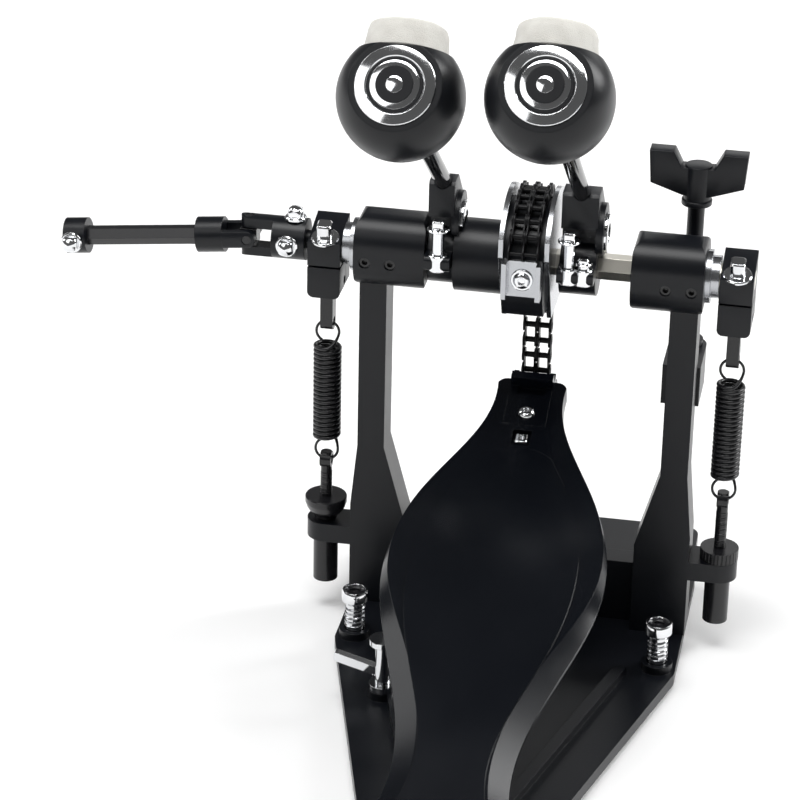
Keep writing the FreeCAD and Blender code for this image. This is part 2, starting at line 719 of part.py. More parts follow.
# Shafts
def bearing_end():
    return HEAD_IN + HEAD_W + BEARING_FLANGE_T + BEARING_STEP_T


def hub_in():
    return bearing_end() + AIR


def spring_x(side):
    return SIDES[side] * (hub_in() + HUB_W / 2)


def hex_shaft():
    start = SLEEVE_IN + AIR
    shaft = hex_bar(V(start, 0, AXLE_H), XX, HEX_AF, HEAD_IN - start - AIR)
    tip = SLEEVE_IN - SLEEVE_BORE_DEPTH + AIR
    shaft = shaft.fuse(cyl(V(tip, 0, AXLE_H), XX, JOURNAL_R, start - tip))
    end = hub_in() + HUB_W
    shaft = shaft.fuse(cyl(V(HEAD_IN - AIR, 0, AXLE_H), XX, SHAFT_R, hub_in() - HEAD_IN + AIR))
    shaft = shaft.fuse(cyl(V(hub_in(), 0, AXLE_H), XX, SHAFT_END_R, end - hub_in()))
    return shaft.removeSplitter()


def slave_sleeve():
    body = cyl(V(SLEEVE_OUT, 0, AXLE_H), XX, SLEEVE_R, SLEEVE_IN - SLEEVE_OUT)
    neck = cyl(V(-HEAD_IN + AIR, 0, AXLE_H), XX, SLEEVE_NECK_R, HEAD_IN - AIR + SLEEVE_OUT)
    journal = cyl(V(-hub_in(), 0, AXLE_H), XX, SHAFT_R, hub_in() - HEAD_IN + AIR)
    end = cyl(V(YOKE_END, 0, AXLE_H), XX, SHAFT_END_R, -hub_in() - YOKE_END)
    body = body.fuse([neck, journal, end])
    bore = cyl(V(SLEEVE_IN - SLEEVE_BORE_DEPTH, 0, AXLE_H), XX, JOURNAL_R + RUN, SLEEVE_BORE_DEPTH)
    return body.cut(bore).removeSplitter()


# Spring hubs with their clamp screw, link and spring
HUB_SLOPE = math.atan2(HUB_HIGH - HUB_FRONT_HIGH, 2 * HUB_HALF_D)
HUB_OUT = V(0, -math.sin(HUB_SLOPE), math.cos(HUB_SLOPE))


def hub_screw_place():
    share = (HUB_HALF_D + HUB_SCREW_Y) / (2 * HUB_HALF_D)
    z = AXLE_H + HUB_FRONT_HIGH + share * (HUB_HIGH - HUB_FRONT_HIGH)
    return V(abs(spring_x("right")), HUB_SCREW_Y, z)


def spring_hub(side):
    # block with a sloping top, split below the shaft; the link's slot is closed towards the player
    low = AXLE_H - HUB_LOW
    outline = [(-HUB_HALF_D, low), (HUB_HALF_D, low), (HUB_HALF_D, AXLE_H + HUB_HIGH),
               (-HUB_HALF_D, AXLE_H + HUB_FRONT_HIGH)]
    hub = rounded(side_prism(outline, hub_in(), hub_in() + HUB_W), YY, HUB_ROUND)
    slit = AXLE_H + HUB_SLIT_Z
    hub = hub.cut(box(hub_in(), hub_in() + HUB_W, -HUB_HALF_D, 0, slit - HUB_SLIT / 2, slit + HUB_SLIT / 2))
    hub = hub.cut(cyl(V(hub_in(), 0, AXLE_H), XX, SHAFT_END_R + SEAT, HUB_W))
    middle = abs(spring_x(side))
    pivot = AXLE_H - PIVOT_DROP
    room = LINK_W / 2 + AIR
    hub = hub.cut(box(middle - room, middle + room, -LINK_D / 2 - AIR, HUB_HALF_D, low, pivot + LINK_D / 2 + AIR))
    hub = hub.cut(cyl(V(hub_in(), 0, pivot), XX, PIVOT_R + RUN, HUB_W))
    hub = hub.cut(cyl(hub_screw_place() - HUB_OUT * HUB_SCREW_L, HUB_OUT, CLAMP_SCREW_R + SEAT, 2 * HUB_SCREW_L))
    return on_side(side, hub.removeSplitter())


def hub_screw(side):
    # drum-key head on a round flange
    place = hub_screw_place()
    flange = cyl(place, HUB_OUT, KEY_FLANGE_R, CLAMP_HEAD_T / 3)
    screw = slotted_screw(place, HUB_OUT, CLAMP_SCREW_R, HUB_SCREW_L - SEAT, KEY_HEAD_R, KEY_HEAD_T)
    return on_side(side, screw.fuse(flange).removeSplitter())


def spring_link(side):
    middle = abs(spring_x(side))
    pivot = AXLE_H - PIVOT_DROP
    eye = pivot - LINK_EYE_DROP
    bar = box(middle - LINK_W / 2, middle + LINK_W / 2, -LINK_D / 2, LINK_D / 2, eye, pivot)
    for z in (eye, pivot):
        bar = bar.fuse(cyl(V(middle - LINK_W / 2, 0, z), XX, LINK_D / 2, LINK_W))
    bar = bar.fuse(cyl(V(hub_in() + 1, 0, pivot), XX, PIVOT_R, HUB_W - 2))
    bar = bar.cut(cyl(V(middle - LINK_W, 0, eye), XX, EYE_R, 2 * LINK_W))
    return on_side(side, bar.removeSplitter())


def biarc(p0, t0, p1, t1):
    # two arcs that leave p0 along t0 and reach p1 along t1
    v = p1 - p0
    t = t0 + t1
    spread = 2 * (1 - t0.dot(t1))
    along = v.dot(t)
    d = (math.sqrt(along ** 2 + spread * v.dot(v)) - along) / spread
    q0 = p0 + t0 * d
    q1 = p1 - t1 * d
    middle = (q0 + q1) * 0.5
    return [bend(p0, q0, middle), bend(middle, q1, p1)]


def bend(start, corner, end):
    weight = (end - start).Length / 2 / (corner - start).Length
    crown = (start + corner * 2 * weight + end) * (1 / (2 + 2 * weight))
    return Part.Arc(start, crown, end).toShape()


def hook(rise):
    # from the coil's end in front of its axis up into a ring across the axis
    start = V(0, -COIL_R, COIL_L / 2)
    right = V(HOOK_R, 0, COIL_L / 2 + rise)
    crown = V(0, 0, right.z + HOOK_R)
    left = V(-HOOK_R, 0, right.z)
    edges = biarc(start, XX, right, ZZ)
    edges.append(Part.Arc(right, crown, left).toShape())
    slope = math.radians(60)
    end = V(-HOOK_R * math.cos(slope), 0, right.z - HOOK_R * math.sin(slope))
    between = V(-HOOK_R * math.cos(slope / 2), 0, right.z - HOOK_R * math.sin(slope / 2))
    edges.append(Part.Arc(left, between, end).toShape())
    return edges


def spring_path():
    quarters = int(COIL_TURNS * 4)
    edges = []
    for edge in reversed(hook(HOOK_RISE)):
        points = [edge.valueAt(edge.LastParameter), edge.valueAt((edge.FirstParameter + edge.LastParameter) / 2),
                  edge.valueAt(edge.FirstParameter)]
        points = [V(p.x, -p.y, -p.z) for p in points]
        edges.append(Part.Arc(*points).toShape())
    previous = None
    for k in range(quarters + 1):
        angle = math.pi / 2 * (k + 1)
        point = V(COIL_R * math.cos(angle), COIL_R * math.sin(angle), COIL_L * (k / quarters - 0.5))
        lead = COIL_L / COIL_TURNS / (2 * math.pi) if 0 < k < quarters else 0
        tangent = V(-COIL_R * math.sin(angle), COIL_R * math.cos(angle), lead).normalize()
        if previous:
            edges += biarc(previous[0], previous[1], point, tangent)
        previous = (point, tangent)
    return Part.Wire(edges + hook(HOOK_RISE))


def least_gap(wire):
    points = wire.discretize(Distance=WIRE / 2)
    skip = int(math.pi * WIRE / (WIRE / 2)) + 1
    least = 1e9
    for i, p in enumerate(points):
        for q in points[i + skip:]:
            least = min(least, (p - q).Length)
    return least - WIRE


def spring(side):
    path = spring_path()
    start = path.Edges[0].valueAt(path.Edges[0].FirstParameter)
    tangent = path.Edges[0].tangentAt(path.Edges[0].FirstParameter)
    profile = Part.Wire(Part.makeCircle(WIRE / 2, start, tangent))
    solid = path.makePipeShell([profile], True, False)
    print(side, "spring: least gap", round(least_gap(path), 2), "length", round(path.Length, 1),
          "volume share", round(solid.Volume / (math.pi * WIRE ** 2 / 4 * path.Length), 3))
    solid.translate(V(spring_x(side), 0, spring_middle()))
    return solid


def spring_middle():
    eye = AXLE_H - PIVOT_DROP - LINK_EYE_DROP
    return eye - HOOK_R - HOOK_RISE - COIL_L / 2


def lower_eye():
    return spring_middle() - COIL_L / 2 - HOOK_RISE - HOOK_R


def arm_low():
    return lower_eye() - ROD_SHOW


def arm_top(side):
    return arm_low() + ARM_T[side]


# Tension rod with its nut above the arm and its barrel below
def tension_rod(side):
    low = arm_low() - BARREL_L + BARREL_END
    top = lower_eye() + EYE_R + WIRE
    rod = cyl(V(spring_x(side), 0, low), ZZ, TENSION_R, top - low)
    eye = cyl(V(spring_x(side) - TENSION_R, 0, lower_eye()), XX, EYE_R + WIRE, 2 * TENSION_R)
    rod = rod.fuse(eye)
    return rod.cut(cyl(V(spring_x(side) - 2 * TENSION_R, 0, lower_eye()), XX, EYE_R, 4 * TENSION_R)).removeSplitter()


def tension_nut(side):
    place = V(spring_x(side), 0, arm_top(side) + NUT_GAP)
    nut = tube(place, ZZ, NUT_R, TENSION_R + RUN, NUT_T)
    for k in range(KNURLS):
        angle = 2 * math.pi * k / KNURLS
        groove = cyl(place + V(NUT_R * math.cos(angle), NUT_R * math.sin(angle), 0), ZZ, NUT_R / KNURLS, NUT_T)
        nut = nut.cut(groove)
    return nut


def barrel_nut(side):
    place = V(spring_x(side), 0, arm_low() - BARREL_L)
    return cyl(place, ZZ, BARREL_R, BARREL_L).cut(cyl(place + V(0, 0, BARREL_END), ZZ, TENSION_R + SEAT, BARREL_L))


# Beaters, drawn along their leaning rod
def rod_axis(side):
    lean, splay = math.radians(LEAN[side]), math.radians(SPLAY[side])
    return V(math.sin(splay), -math.sin(lean) * math.cos(splay), math.cos(lean) * math.cos(splay))


def strike_axis(side):
    lean = math.radians(LEAN[side])
    return V(0, math.cos(lean), math.sin(lean))


def rod_point(side, along):
    return V(BEATER_X[side], 0, AXLE_H + ROD_OFFSET) + rod_axis(side) * along


def beater_rod(side):
    end = REACH[side] - BALL_R + BALL_SOCKET
    return cyl(rod_point(side, -ROD_TAIL), rod_axis(side), ROD_R, ROD_TAIL + end)


def beater_ball(side):
    centre = rod_point(side, REACH[side])
    ball = Part.makeSphere(BALL_R, centre)
    size = 2 * BALL_R
    for axis, seat in ((strike_axis(side), PAD_SEAT), (rod_axis(side), BADGE_SEAT)):
        ball = ball.cut(cyl(centre + axis * seat, axis, size, size))
    socket = BALL_R - BALL_SOCKET
    ball = ball.cut(cyl(centre - rod_axis(side) * size, rod_axis(side), ROD_R + SEAT, size - socket))
    return ball


def beater_pad(side):
    centre = rod_point(side, REACH[side])
    pad = cyl(centre + strike_axis(side) * PAD_SEAT, strike_axis(side), PAD_R, PAD_T)
    rims = [edge for edge in pad.Edges if edge.Closed]
    rims.sort(key=lambda edge: (edge.CenterOfMass - centre).Length)
    return pad.makeFillet(PAD_ROUND, [rims[-1]])


def beater_badge(side):
    centre = rod_point(side, REACH[side])
    badge = cyl(centre + rod_axis(side) * BADGE_SEAT, rod_axis(side), BADGE_R, BADGE_T)
    clear = centre + strike_axis(side) * (PAD_SEAT - AIR)
    return badge.cut(cyl(clear, strike_axis(side), 2 * BALL_R, 2 * BALL_R))


def beater_holder(side):
    half = HOLDER_W[side] / 2
    x0 = BEATER_X[side] - half
    x1 = BEATER_X[side] + half
    top = AXLE_H + HOLDER_TOP
    step = AXLE_H + HOLDER_STEP
    outline = [(-HOLDER_NECK, AXLE_H), (-HOLDER_NECK, step), (-HOLDER_FRONT, step), (-HOLDER_FRONT, top - HOLDER_EDGE),
               (HOLDER_EDGE - HOLDER_FRONT, top), (0, top), (HOLDER_BACK, top - HOLDER_BACK), (HOLDER_BACK, AXLE_H)]
    body = side_prism(outline, x0, x1)
    body = body.fuse(cyl(V(x0, 0, AXLE_H), XX, HOLDER_R, 2 * half))
    lug_low = AXLE_H + LUG_Z[side]
    lug = rounded(box(x0, x1, -HOLDER_R - CLAMP_BOSS, 0, lug_low, lug_low + CLAMP_LUG_T), XX, CLAMP_LUG_T / 3)
    cheek = cyl(V(x1 - SINK, 0, AXLE_H + CHEEK_Z), XX, CHEEK_R, CHEEK_W + SINK)
    if side == "left":
        cheek = cheek.cut(cyl(V(x1 - 2 * SINK, 0, AXLE_H), XX, SLEEVE_R + AIR, CHEEK_W + 3 * SINK))
    body = body.fuse([lug, cheek])
    if side == "left":
        body = body.cut(cyl(V(x0, 0, AXLE_H), XX, SLEEVE_NECK_R + SEAT, 2 * half))
    else:
        body = body.cut(hex_bar(V(x0, 0, AXLE_H), XX, HEX_AF + 2 * SEAT, 2 * half))
    body = body.cut(cyl(rod_point(side, -3 * ROD_TAIL), rod_axis(side), ROD_R + RUN, 6 * ROD_TAIL))
    for place in clamp_screw_places(side):
        body = body.cut(cyl(place - V(0, 0, CLAMP_SCREW_L + CLAMP_DROP), ZZ, CLAMP_SCREW_R + SEAT, 2 * CLAMP_SCREW_L))
    return body.removeSplitter()


def clamp_screw_places(side):
    # under the head of each vertical clamp screw in front of the axle
    y = -HOLDER_R - CLAMP_BOSS / 2
    x = BEATER_X[side]
    z = AXLE_H + CLAMP_RISE
    if side == "left":
        return [V(x, y, z)]
    return [V(x - CLAMP_STEP / 2, y, z), V(x + CLAMP_STEP / 2, y, z - CLAMP_DROP)]


def clamp_screws(side):
    screws = []
    for place in clamp_screw_places(side):
        shank = place.z - AXLE_H - LUG_Z[side]
        screws.append(slotted_screw(place, ZZ, CLAMP_SCREW_R, shank - SEAT, CLAMP_HEAD_R, CLAMP_HEAD_T))
    return screws


# Universal joint: the inner yoke on the axle, the cross, and the drooping shaft
CROSS = V(JOINT_X, 0, AXLE_H)


def fork(radius, pin_axis, root):
    # two ears that reach past the pins, joined by a root that runs along X
    span = abs(root - JOINT_X)
    x0 = min(root, JOINT_X)
    blank = cyl(V(x0, 0, AXLE_H), XX, radius, span)
    tip = cyl(CROSS - pin_axis * radius, pin_axis, EAR_W / 2, 2 * radius)
    blank = blank.fuse(tip.common(cyl(V(JOINT_X - FORK_L, 0, AXLE_H), XX, radius, 2 * FORK_L)))
    across = pin_axis.cross(XX)
    blank = blank.cut(joint_block(across, pin_axis, 2 * radius, -EAR_HALF, EAR_HALF))
    for near, far in ((-2 * radius, -EAR_W / 2), (EAR_W / 2, 2 * radius)):
        blank = blank.cut(joint_block(pin_axis, across, 2 * radius, near, far))
    return blank.cut(cyl(CROSS - pin_axis * 2 * radius, pin_axis, CROSS_PIN_R + RUN, 4 * radius))


def joint_block(wide, thin, reach, near, far):
    # block round the cross: within the forks along X, wide one way, from near to far the other
    low = CROSS - XX * FORK_L - wide * reach + thin * near
    face = [low, low + wide * 2 * reach, low + wide * 2 * reach + thin * (far - near), low + thin * (far - near)]
    return prism(face, XX * 2 * FORK_L)


def drooped(shape):
    return turned(shape, -SHAFT_DROOP, CROSS, YY)


def inner_yoke():
    yoke = fork(YOKE_R, ZZ, YOKE_END)
    for place in yoke_bolt_places():
        yoke = yoke.cut(cyl(place[0] - place[1] * YOKE_R, place[1], CLAMP_SCREW_R + SEAT, YOKE_R))
    return yoke.removeSplitter()


def yoke_bolt_places():
    x = (YOKE_END + JOINT_X + FORK_L) / 2
    return [(V(x + CLAMP_HEAD_R / 2, 0, AXLE_H + YOKE_R), ZZ), (V(x, -YOKE_R, AXLE_H), V(0, -1, 0))]


def yoke_bolts():
    bolts = []
    for place, axis in yoke_bolt_places():
        bolts.append(slotted_screw(place, axis, CLAMP_SCREW_R, YOKE_R / 2, BOLT_HEAD_R, BOLT_HEAD_T))
    return bolts


def joint_cross():
    half = CROSS_HALF
    body = box(JOINT_X - half, JOINT_X + half, -half, half, AXLE_H - half, AXLE_H + half)
    upright = cyl(CROSS - ZZ * (YOKE_R - 0.5), ZZ, CROSS_PIN_R, 2 * (YOKE_R - 0.5))
    level = cyl(CROSS - YY * (FORK_R - 0.5), YY, CROSS_PIN_R, 2 * (FORK_R - 0.5))
    return body.fuse([upright, level]).removeSplitter()


def outer_yoke():
    root = JOINT_X - FORK_L
    yoke = fork(FORK_R, YY, root)
    yoke = yoke.fuse(cyl(V(root - SOCKET_L, 0, AXLE_H), XX, SOCKET_R, SOCKET_L))
    yoke = yoke.cut(hex_bar(V(root - SOCKET_L, 0, AXLE_H), XX, BAR_AF + 2 * SEAT, SOCKET_L - 2))
    return drooped(yoke.removeSplitter())


def bar_start():
    return JOINT_X - FORK_L - 2 - AIR


def drive_bar():
    end = JOINT_X - FORK_L - SOCKET_L - BAR_L
    return drooped(hex_bar(V(end, 0, AXLE_H), XX, BAR_AF, bar_start() - end))


def end_collar():
    bar_end = JOINT_X - FORK_L - SOCKET_L - BAR_L
    start = bar_end + COLLAR_BAR - COLLAR_L
    collar = cyl(V(start, 0, AXLE_H), XX, COLLAR_R, COLLAR_L)
    collar = collar.cut(hex_bar(V(bar_end, 0, AXLE_H), XX, BAR_AF + 2 * SEAT, COLLAR_BAR))
    collar = collar.cut(cyl(V(start, 0, AXLE_H), XX, COLLAR_BORE_R, COLLAR_L - COLLAR_BAR))
    screw = collar_screw_place()
    return drooped(collar.cut(cyl(screw, YY, CLAMP_SCREW_R + SEAT, COLLAR_R)))


def collar_screw_place():
    bar_end = JOINT_X - FORK_L - SOCKET_L - BAR_L
    return V(bar_end + COLLAR_BAR - COLLAR_L / 2 - 1, -COLLAR_R, AXLE_H)


def collar_screw():
    reach = COLLAR_R - COLLAR_BORE_R
    screw = slotted_screw(collar_screw_place(), V(0, -1, 0), CLAMP_SCREW_R, reach, BOLT_HEAD_R, BOLT_HEAD_T)
    return drooped(screw)


# Hoop clamp: a jaw on a guide pin, drawn down by the tall wing handle
def hoop_jaw():
    bar = box(JAW_LEFT, BASE_HALF, JAW_BACK, BASE_FRONT, JAW_LOW, JAW_LOW + JAW_T)
    bar = rounded(bar, ZZ, BASE_ROUND)
    for x in (HANDLE_X, JAW_PIN_X):
        bar = bar.cut(cyl(V(x, HANDLE_Y, JAW_LOW), ZZ, HANDLE_R + RUN, JAW_T))
    return bar


def jaw_pin():
    low = FEET_H + BASE_T / 2
    return cyl(V(JAW_PIN_X, HANDLE_Y, low), ZZ, HANDLE_R, JAW_PIN_TOP - low)


def hoop_pad(z):
    return box(-HOOP_PAD_HALF, HOOP_PAD_HALF, HOOP_PAD_BACK, BASE_FRONT - 1, z, z + HOOP_PAD_T)


def wing_handle():
    low = FEET_H + BASE_T / 2
    rod = cyl(V(HANDLE_X, HANDLE_Y, low), ZZ, HANDLE_R, HANDLE_TOP - low)
    collar = cyl(V(HANDLE_X, HANDLE_Y, GUIDE_Z + GUIDE_T + NUT_GAP), ZZ, HANDLE_FOOT_R, HANDLE_FOOT_T)
    boss = cyl(V(HANDLE_X, HANDLE_Y, HANDLE_TOP - HANDLE_BOSS_L), ZZ, HANDLE_BOSS_R, HANDLE_BOSS_L)
    foot = cyl(V(HANDLE_X, HANDLE_Y, HANDLE_TOP - HANDLE_BOSS_L - HANDLE_FOOT_T), ZZ, HANDLE_FOOT_R, HANDLE_FOOT_T)
    # one wing in shares of its half span: along, and up from the top of the boss
    shares = ((0, -0.68), (0.3, -0.62), (0.95, -0.4), (1, 0.3), (0.5, 0.3), (0.33, -0.03), (0, -0.03))
    wings = [foot]
    for sign in (-1, 1):
        outline = [(HANDLE_X + sign * x * HANDLE_WING, HANDLE_TOP + z * HANDLE_WING) for x, z in shares]
        wings.append(front_prism(outline, HANDLE_Y - HANDLE_WING_T / 2, HANDLE_Y + HANDLE_WING_T / 2))
    return rod.fuse([collar, boss] + wings).removeSplitter()


# Spur screws and the wing screw on the base
def spur(side):
    place = spur_place(side)
    tip_h = SPUR_R
    low = FEET_H - 2
    point = Part.makeCone(0.6, SPUR_R, tip_h, place + V(0, 0, low), ZZ)
    shank = cyl(place + V(0, 0, low + tip_h), ZZ, SPUR_R, SPUR_TOP - SPUR_HEAD_T - low - tip_h)
    head = cyl(place + V(0, 0, SPUR_TOP - SPUR_HEAD_T), ZZ, SPUR_HEAD_R, SPUR_HEAD_T)
    return point.fuse([shank, head]).removeSplitter()


def wing_screw():
    seat = V(WING_X, WING_Y, BASE_TOP + WING_BOSS_H + NUT_GAP)
    screw = cyl(seat, ZZ, WING_FLANGE_R, WING_FLANGE_T)
    screw = screw.fuse(cyl(seat, ZZ, WING_HUB_R, WING_HUB_L))
    screw = screw.fuse(cyl(seat + ZZ * (WING_HUB_L - WING_FLANGE_T), ZZ, WING_FLANGE_R, WING_FLANGE_T))
    screw = screw.fuse(cyl(seat - ZZ * (BASE_T + WING_BOSS_H), ZZ, WING_SHANK_R, BASE_T + WING_BOSS_H))
    low = seat.z + WING_RISE
    for sign in (-1, 1):
        end = WING_X + sign * WING_SPAN
        outline = [(WING_X, low), (end, low + WING_UP), (end, low + WING_UP + WING_DEEP), (WING_X, low + WING_DEEP)]
        wing = front_prism(outline, WING_Y - WING_T / 2, WING_Y + WING_T / 2)
        screw = screw.fuse(rounded(wing, YY, WING_DEEP / 4))
    return screw.removeSplitter()


def build():
    os.makedirs("parts", exist_ok=True)
    save("base_plate", base_plate())
    save("base_rubbers", *rubber_feet(), hoop_pad(BASE_TOP))
    save("toe_bridge", toe_bridge())
    save("heel_block", heel_block())
    save("frame_pins", heel_pin(), jaw_pin())
    save("footboard", footboard())
    save("toe_clip", toe_clip())
    save("toe_pin", toe_pin())
    save("toe_screw", toe_screw())
    save("chain_run", chain_run())
    save("chain_lower_pair", chain_arc(0, PEEL_LINKS))
    save("chain_upper_pair", chain_arc(PEEL_LINKS, 2 * PEEL_LINKS))
    save("chain_wrap", chain_arc(2 * PEEL_LINKS, 2 * PEEL_LINKS + WRAP_LINKS))
    save("cam_wheel", cam_wheel())
    save("cam_plates", *cam_plates())
    save("chain_anchor", chain_anchor())
    save("anchor_screw", anchor_screw())
    save("hex_shaft", hex_shaft())
    save("slave_sleeve", slave_sleeve())
    for side in SIDES:
        save(side + "_post", post(side))
        save(side + "_spring_hub", spring_hub(side))
        save(side + "_hub_screw", hub_screw(side))
        save(side + "_spring_link", spring_link(side))
        save(side + "_spring", spring(side))
        save(side + "_tension_nut", tension_nut(side))
        save(side + "_beater_holder", beater_holder(side))
        save(side + "_clamp_screws", *clamp_screws(side))
        save(side + "_beater_rod", beater_rod(side))
        save(side + "_beater_ball", beater_ball(side))
        save(side + "_beater_pad", beater_pad(side))
        save(side + "_beater_badge", beater_badge(side))
        save(side + "_spur_screw", spur(side))
    save("head_screws", *head_screws("left"), *head_screws("right"))
    save("bearings", bearing("left"), bearing("right"))
    save("tension_rods", tension_rod("left"), tension_rod("right"))
    save("barrel_nuts", barrel_nut("left"), barrel_nut("right"))
    save("inner_yoke", inner_yoke())
    save("yoke_bolts", *yoke_bolts())
    save("joint_cross", joint_cross())
    save("outer_yoke", outer_yoke())
    save("drive_bar", drive_bar())
    save("end_collar", end_collar())
    save("collar_screw", collar_screw())
    save("hoop_jaw", hoop_jaw())
    save("jaw_pad", hoop_pad(JAW_LOW - HOOP_PAD_T))
    save("wing_handle", wing_handle())
    save("wing_screw", wing_screw())


build()
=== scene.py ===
# %% [markdown]
# A double bass drum pedal, dressed on its CAD frame.
# The frame brings every rigid piece in its real place, in metres, with its joints. This lesson adds what CAD
# leaves plain: finishes, soft edges, the chain's links, wound springs, felt pads, threads, light and a camera.

# %% Load the frame
import json
import math

import bmesh
import bpy
from mathutils import Matrix, Vector, noise


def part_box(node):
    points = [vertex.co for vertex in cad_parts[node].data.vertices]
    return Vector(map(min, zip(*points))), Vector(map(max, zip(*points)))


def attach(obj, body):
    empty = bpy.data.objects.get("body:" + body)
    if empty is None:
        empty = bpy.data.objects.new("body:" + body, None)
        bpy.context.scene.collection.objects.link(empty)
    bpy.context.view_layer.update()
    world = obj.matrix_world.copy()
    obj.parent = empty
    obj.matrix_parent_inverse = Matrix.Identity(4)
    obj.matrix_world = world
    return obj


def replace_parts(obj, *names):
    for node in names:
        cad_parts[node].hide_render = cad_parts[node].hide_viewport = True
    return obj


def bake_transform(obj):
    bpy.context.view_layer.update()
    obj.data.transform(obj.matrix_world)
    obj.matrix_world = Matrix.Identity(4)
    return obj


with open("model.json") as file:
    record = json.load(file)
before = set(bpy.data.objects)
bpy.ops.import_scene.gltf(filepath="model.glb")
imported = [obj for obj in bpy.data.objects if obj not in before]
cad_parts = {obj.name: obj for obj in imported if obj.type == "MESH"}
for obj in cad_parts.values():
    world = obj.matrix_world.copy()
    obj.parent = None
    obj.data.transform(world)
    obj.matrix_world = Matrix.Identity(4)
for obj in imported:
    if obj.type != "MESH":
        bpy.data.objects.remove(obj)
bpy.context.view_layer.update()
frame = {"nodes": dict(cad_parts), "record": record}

scene = bpy.context.scene
scene.view_settings.view_transform = "Standard"
MM = 0.001

# %% [markdown]
# The camera comes first, because every later step is judged through it.
# The photograph looks down on the pedal from the player's side, a little from the right, and is slightly
# turned. One could nudge a camera until it looks right; here its distance, angles and focal length are set as
# named values, and it aims at the point that the picture has in its middle, so no lens shift is needed.

# %% Camera
IMAGE = 800
FOCAL_PIXELS = 3225.0
AXLE_PIXEL = (531.5, 259.5)
VIEW_AZIMUTH, VIEW_ELEVATION, VIEW_ROLL = (math.radians(a) for a in (7.6, 23.5, 2.2))
VIEW_DISTANCE = 1.5
SENSOR, CLIP_END = 36.0, 50.0

shaft_low, shaft_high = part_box("hex_shaft")
axle = (shaft_low + shaft_high) / 2
axle.x = 0.0

view_right = Vector((math.cos(VIEW_AZIMUTH), math.sin(VIEW_AZIMUTH), 0))
view_ahead = Vector((-math.sin(VIEW_AZIMUTH) * math.cos(VIEW_ELEVATION),
                     math.cos(VIEW_AZIMUTH) * math.cos(VIEW_ELEVATION), -math.sin(VIEW_ELEVATION)))
view_up = view_right.cross(view_ahead)
rolled_right = view_right * math.cos(VIEW_ROLL) + view_up * math.sin(VIEW_ROLL)
rolled_up = view_up * math.cos(VIEW_ROLL) - view_right * math.sin(VIEW_ROLL)
eye = axle - view_ahead * VIEW_DISTANCE

aim = view_ahead + (rolled_right * (IMAGE / 2 - AXLE_PIXEL[0])
                    - rolled_up * (IMAGE / 2 - AXLE_PIXEL[1])) / FOCAL_PIXELS
aim.normalize()
side = aim.cross(rolled_up).normalized()
camera = bpy.data.objects.new("camera", bpy.data.cameras.new("camera"))
camera.data.sensor_width = SENSOR
camera.data.lens = FOCAL_PIXELS / IMAGE * SENSOR
camera.data.clip_end = CLIP_END
camera.matrix_world = Matrix.Translation(eye) @ Matrix((side, side.cross(aim), -aim)).transposed().to_4x4()
scene.collection.objects.link(camera)
scene.camera = camera
print("camera: lens", round(camera.data.lens, 1), "mm, eye", [round(v, 3) for v in eye])

# %% [markdown]
# The set starts with a white floor, like the paper roll of a studio.
# A brighter lamp could make the far floor white, but that would grey the object. The floor glows a little instead,
# only as seen or mirrored, and least near the feet, where it has to show the shadow.

# %% Floor
FLOOR_HALF, FLOOR_TONE, FLOOR_ROUGH, FLOOR_SHINE = 6.0, 0.94, 0.9, 0.1
FLOOR_GLOW = (0.08, 0.75)
GLOW_REACH = (0.45, 2.2)


def plain_material(name):
    made = bpy.data.materials.new(name)
    made.use_nodes = True
    return made, made.node_tree.nodes, made.node_tree.links


floor_mesh = bpy.data.meshes.new("floor")
floor_mesh.from_pydata([(-FLOOR_HALF, -FLOOR_HALF, 0), (FLOOR_HALF, -FLOOR_HALF, 0),
                        (FLOOR_HALF, FLOOR_HALF, 0), (-FLOOR_HALF, FLOOR_HALF, 0)], [], [(0, 1, 2, 3)])
floor = bpy.data.objects.new("floor", floor_mesh)
scene.collection.objects.link(floor)
floor_paint, floor_nodes, floor_links = plain_material("studio_floor")
floor_shader = floor_nodes["Principled BSDF"]
for label, value in (("Base Color", (FLOOR_TONE, FLOOR_TONE, FLOOR_TONE, 1)), ("Roughness", FLOOR_ROUGH),
                     ("Specular IOR Level", FLOOR_SHINE), ("Emission Color", (1, 1, 1, 1))):
    floor_shader.inputs[label].default_value = value
floor_rays = floor_nodes.new("ShaderNodeLightPath")
floor_place = floor_nodes.new("ShaderNodeTexCoord")
floor_far = floor_nodes.new("ShaderNodeVectorMath")
floor_far.operation = "LENGTH"
floor_rise = floor_nodes.new("ShaderNodeMapRange")
for end, glow, reach in zip(("Min", "Max"), FLOOR_GLOW, GLOW_REACH):
    floor_rise.inputs["From " + end].default_value = reach
    floor_rise.inputs["To " + end].default_value = glow
floor_seen, floor_glow = (floor_nodes.new("ShaderNodeMath") for _ in range(2))
floor_glow.operation = "MULTIPLY"
floor_links.new(floor_place.outputs["Object"], floor_far.inputs[0])
floor_links.new(floor_far.outputs["Value"], floor_rise.inputs["Value"])
floor_links.new(floor_rays.outputs["Is Camera Ray"], floor_seen.inputs[0])
floor_links.new(floor_rays.outputs["Is Glossy Ray"], floor_seen.inputs[1])
floor_links.new(floor_seen.outputs["Value"], floor_glow.inputs[0])
floor_links.new(floor_rise.outputs["Result"], floor_glow.inputs[1])
floor_links.new(floor_glow.outputs["Value"], floor_shader.inputs["Emission Strength"])
floor_mesh.materials.append(floor_paint)
print("floor:", 2 * FLOOR_HALF, "m wide")

# %% [markdown]
# Black satin shows its form only by what it reflects, so the light comes from large panels: one above, one from
# the left, one behind at the right that draws edges, a low one behind and a small one in front for the caps.
# A picture of a studio could light it too, but a few panels are easier to move. The world is a quiet grey, so that
# flat black faces stay black; only the camera sees it as white.

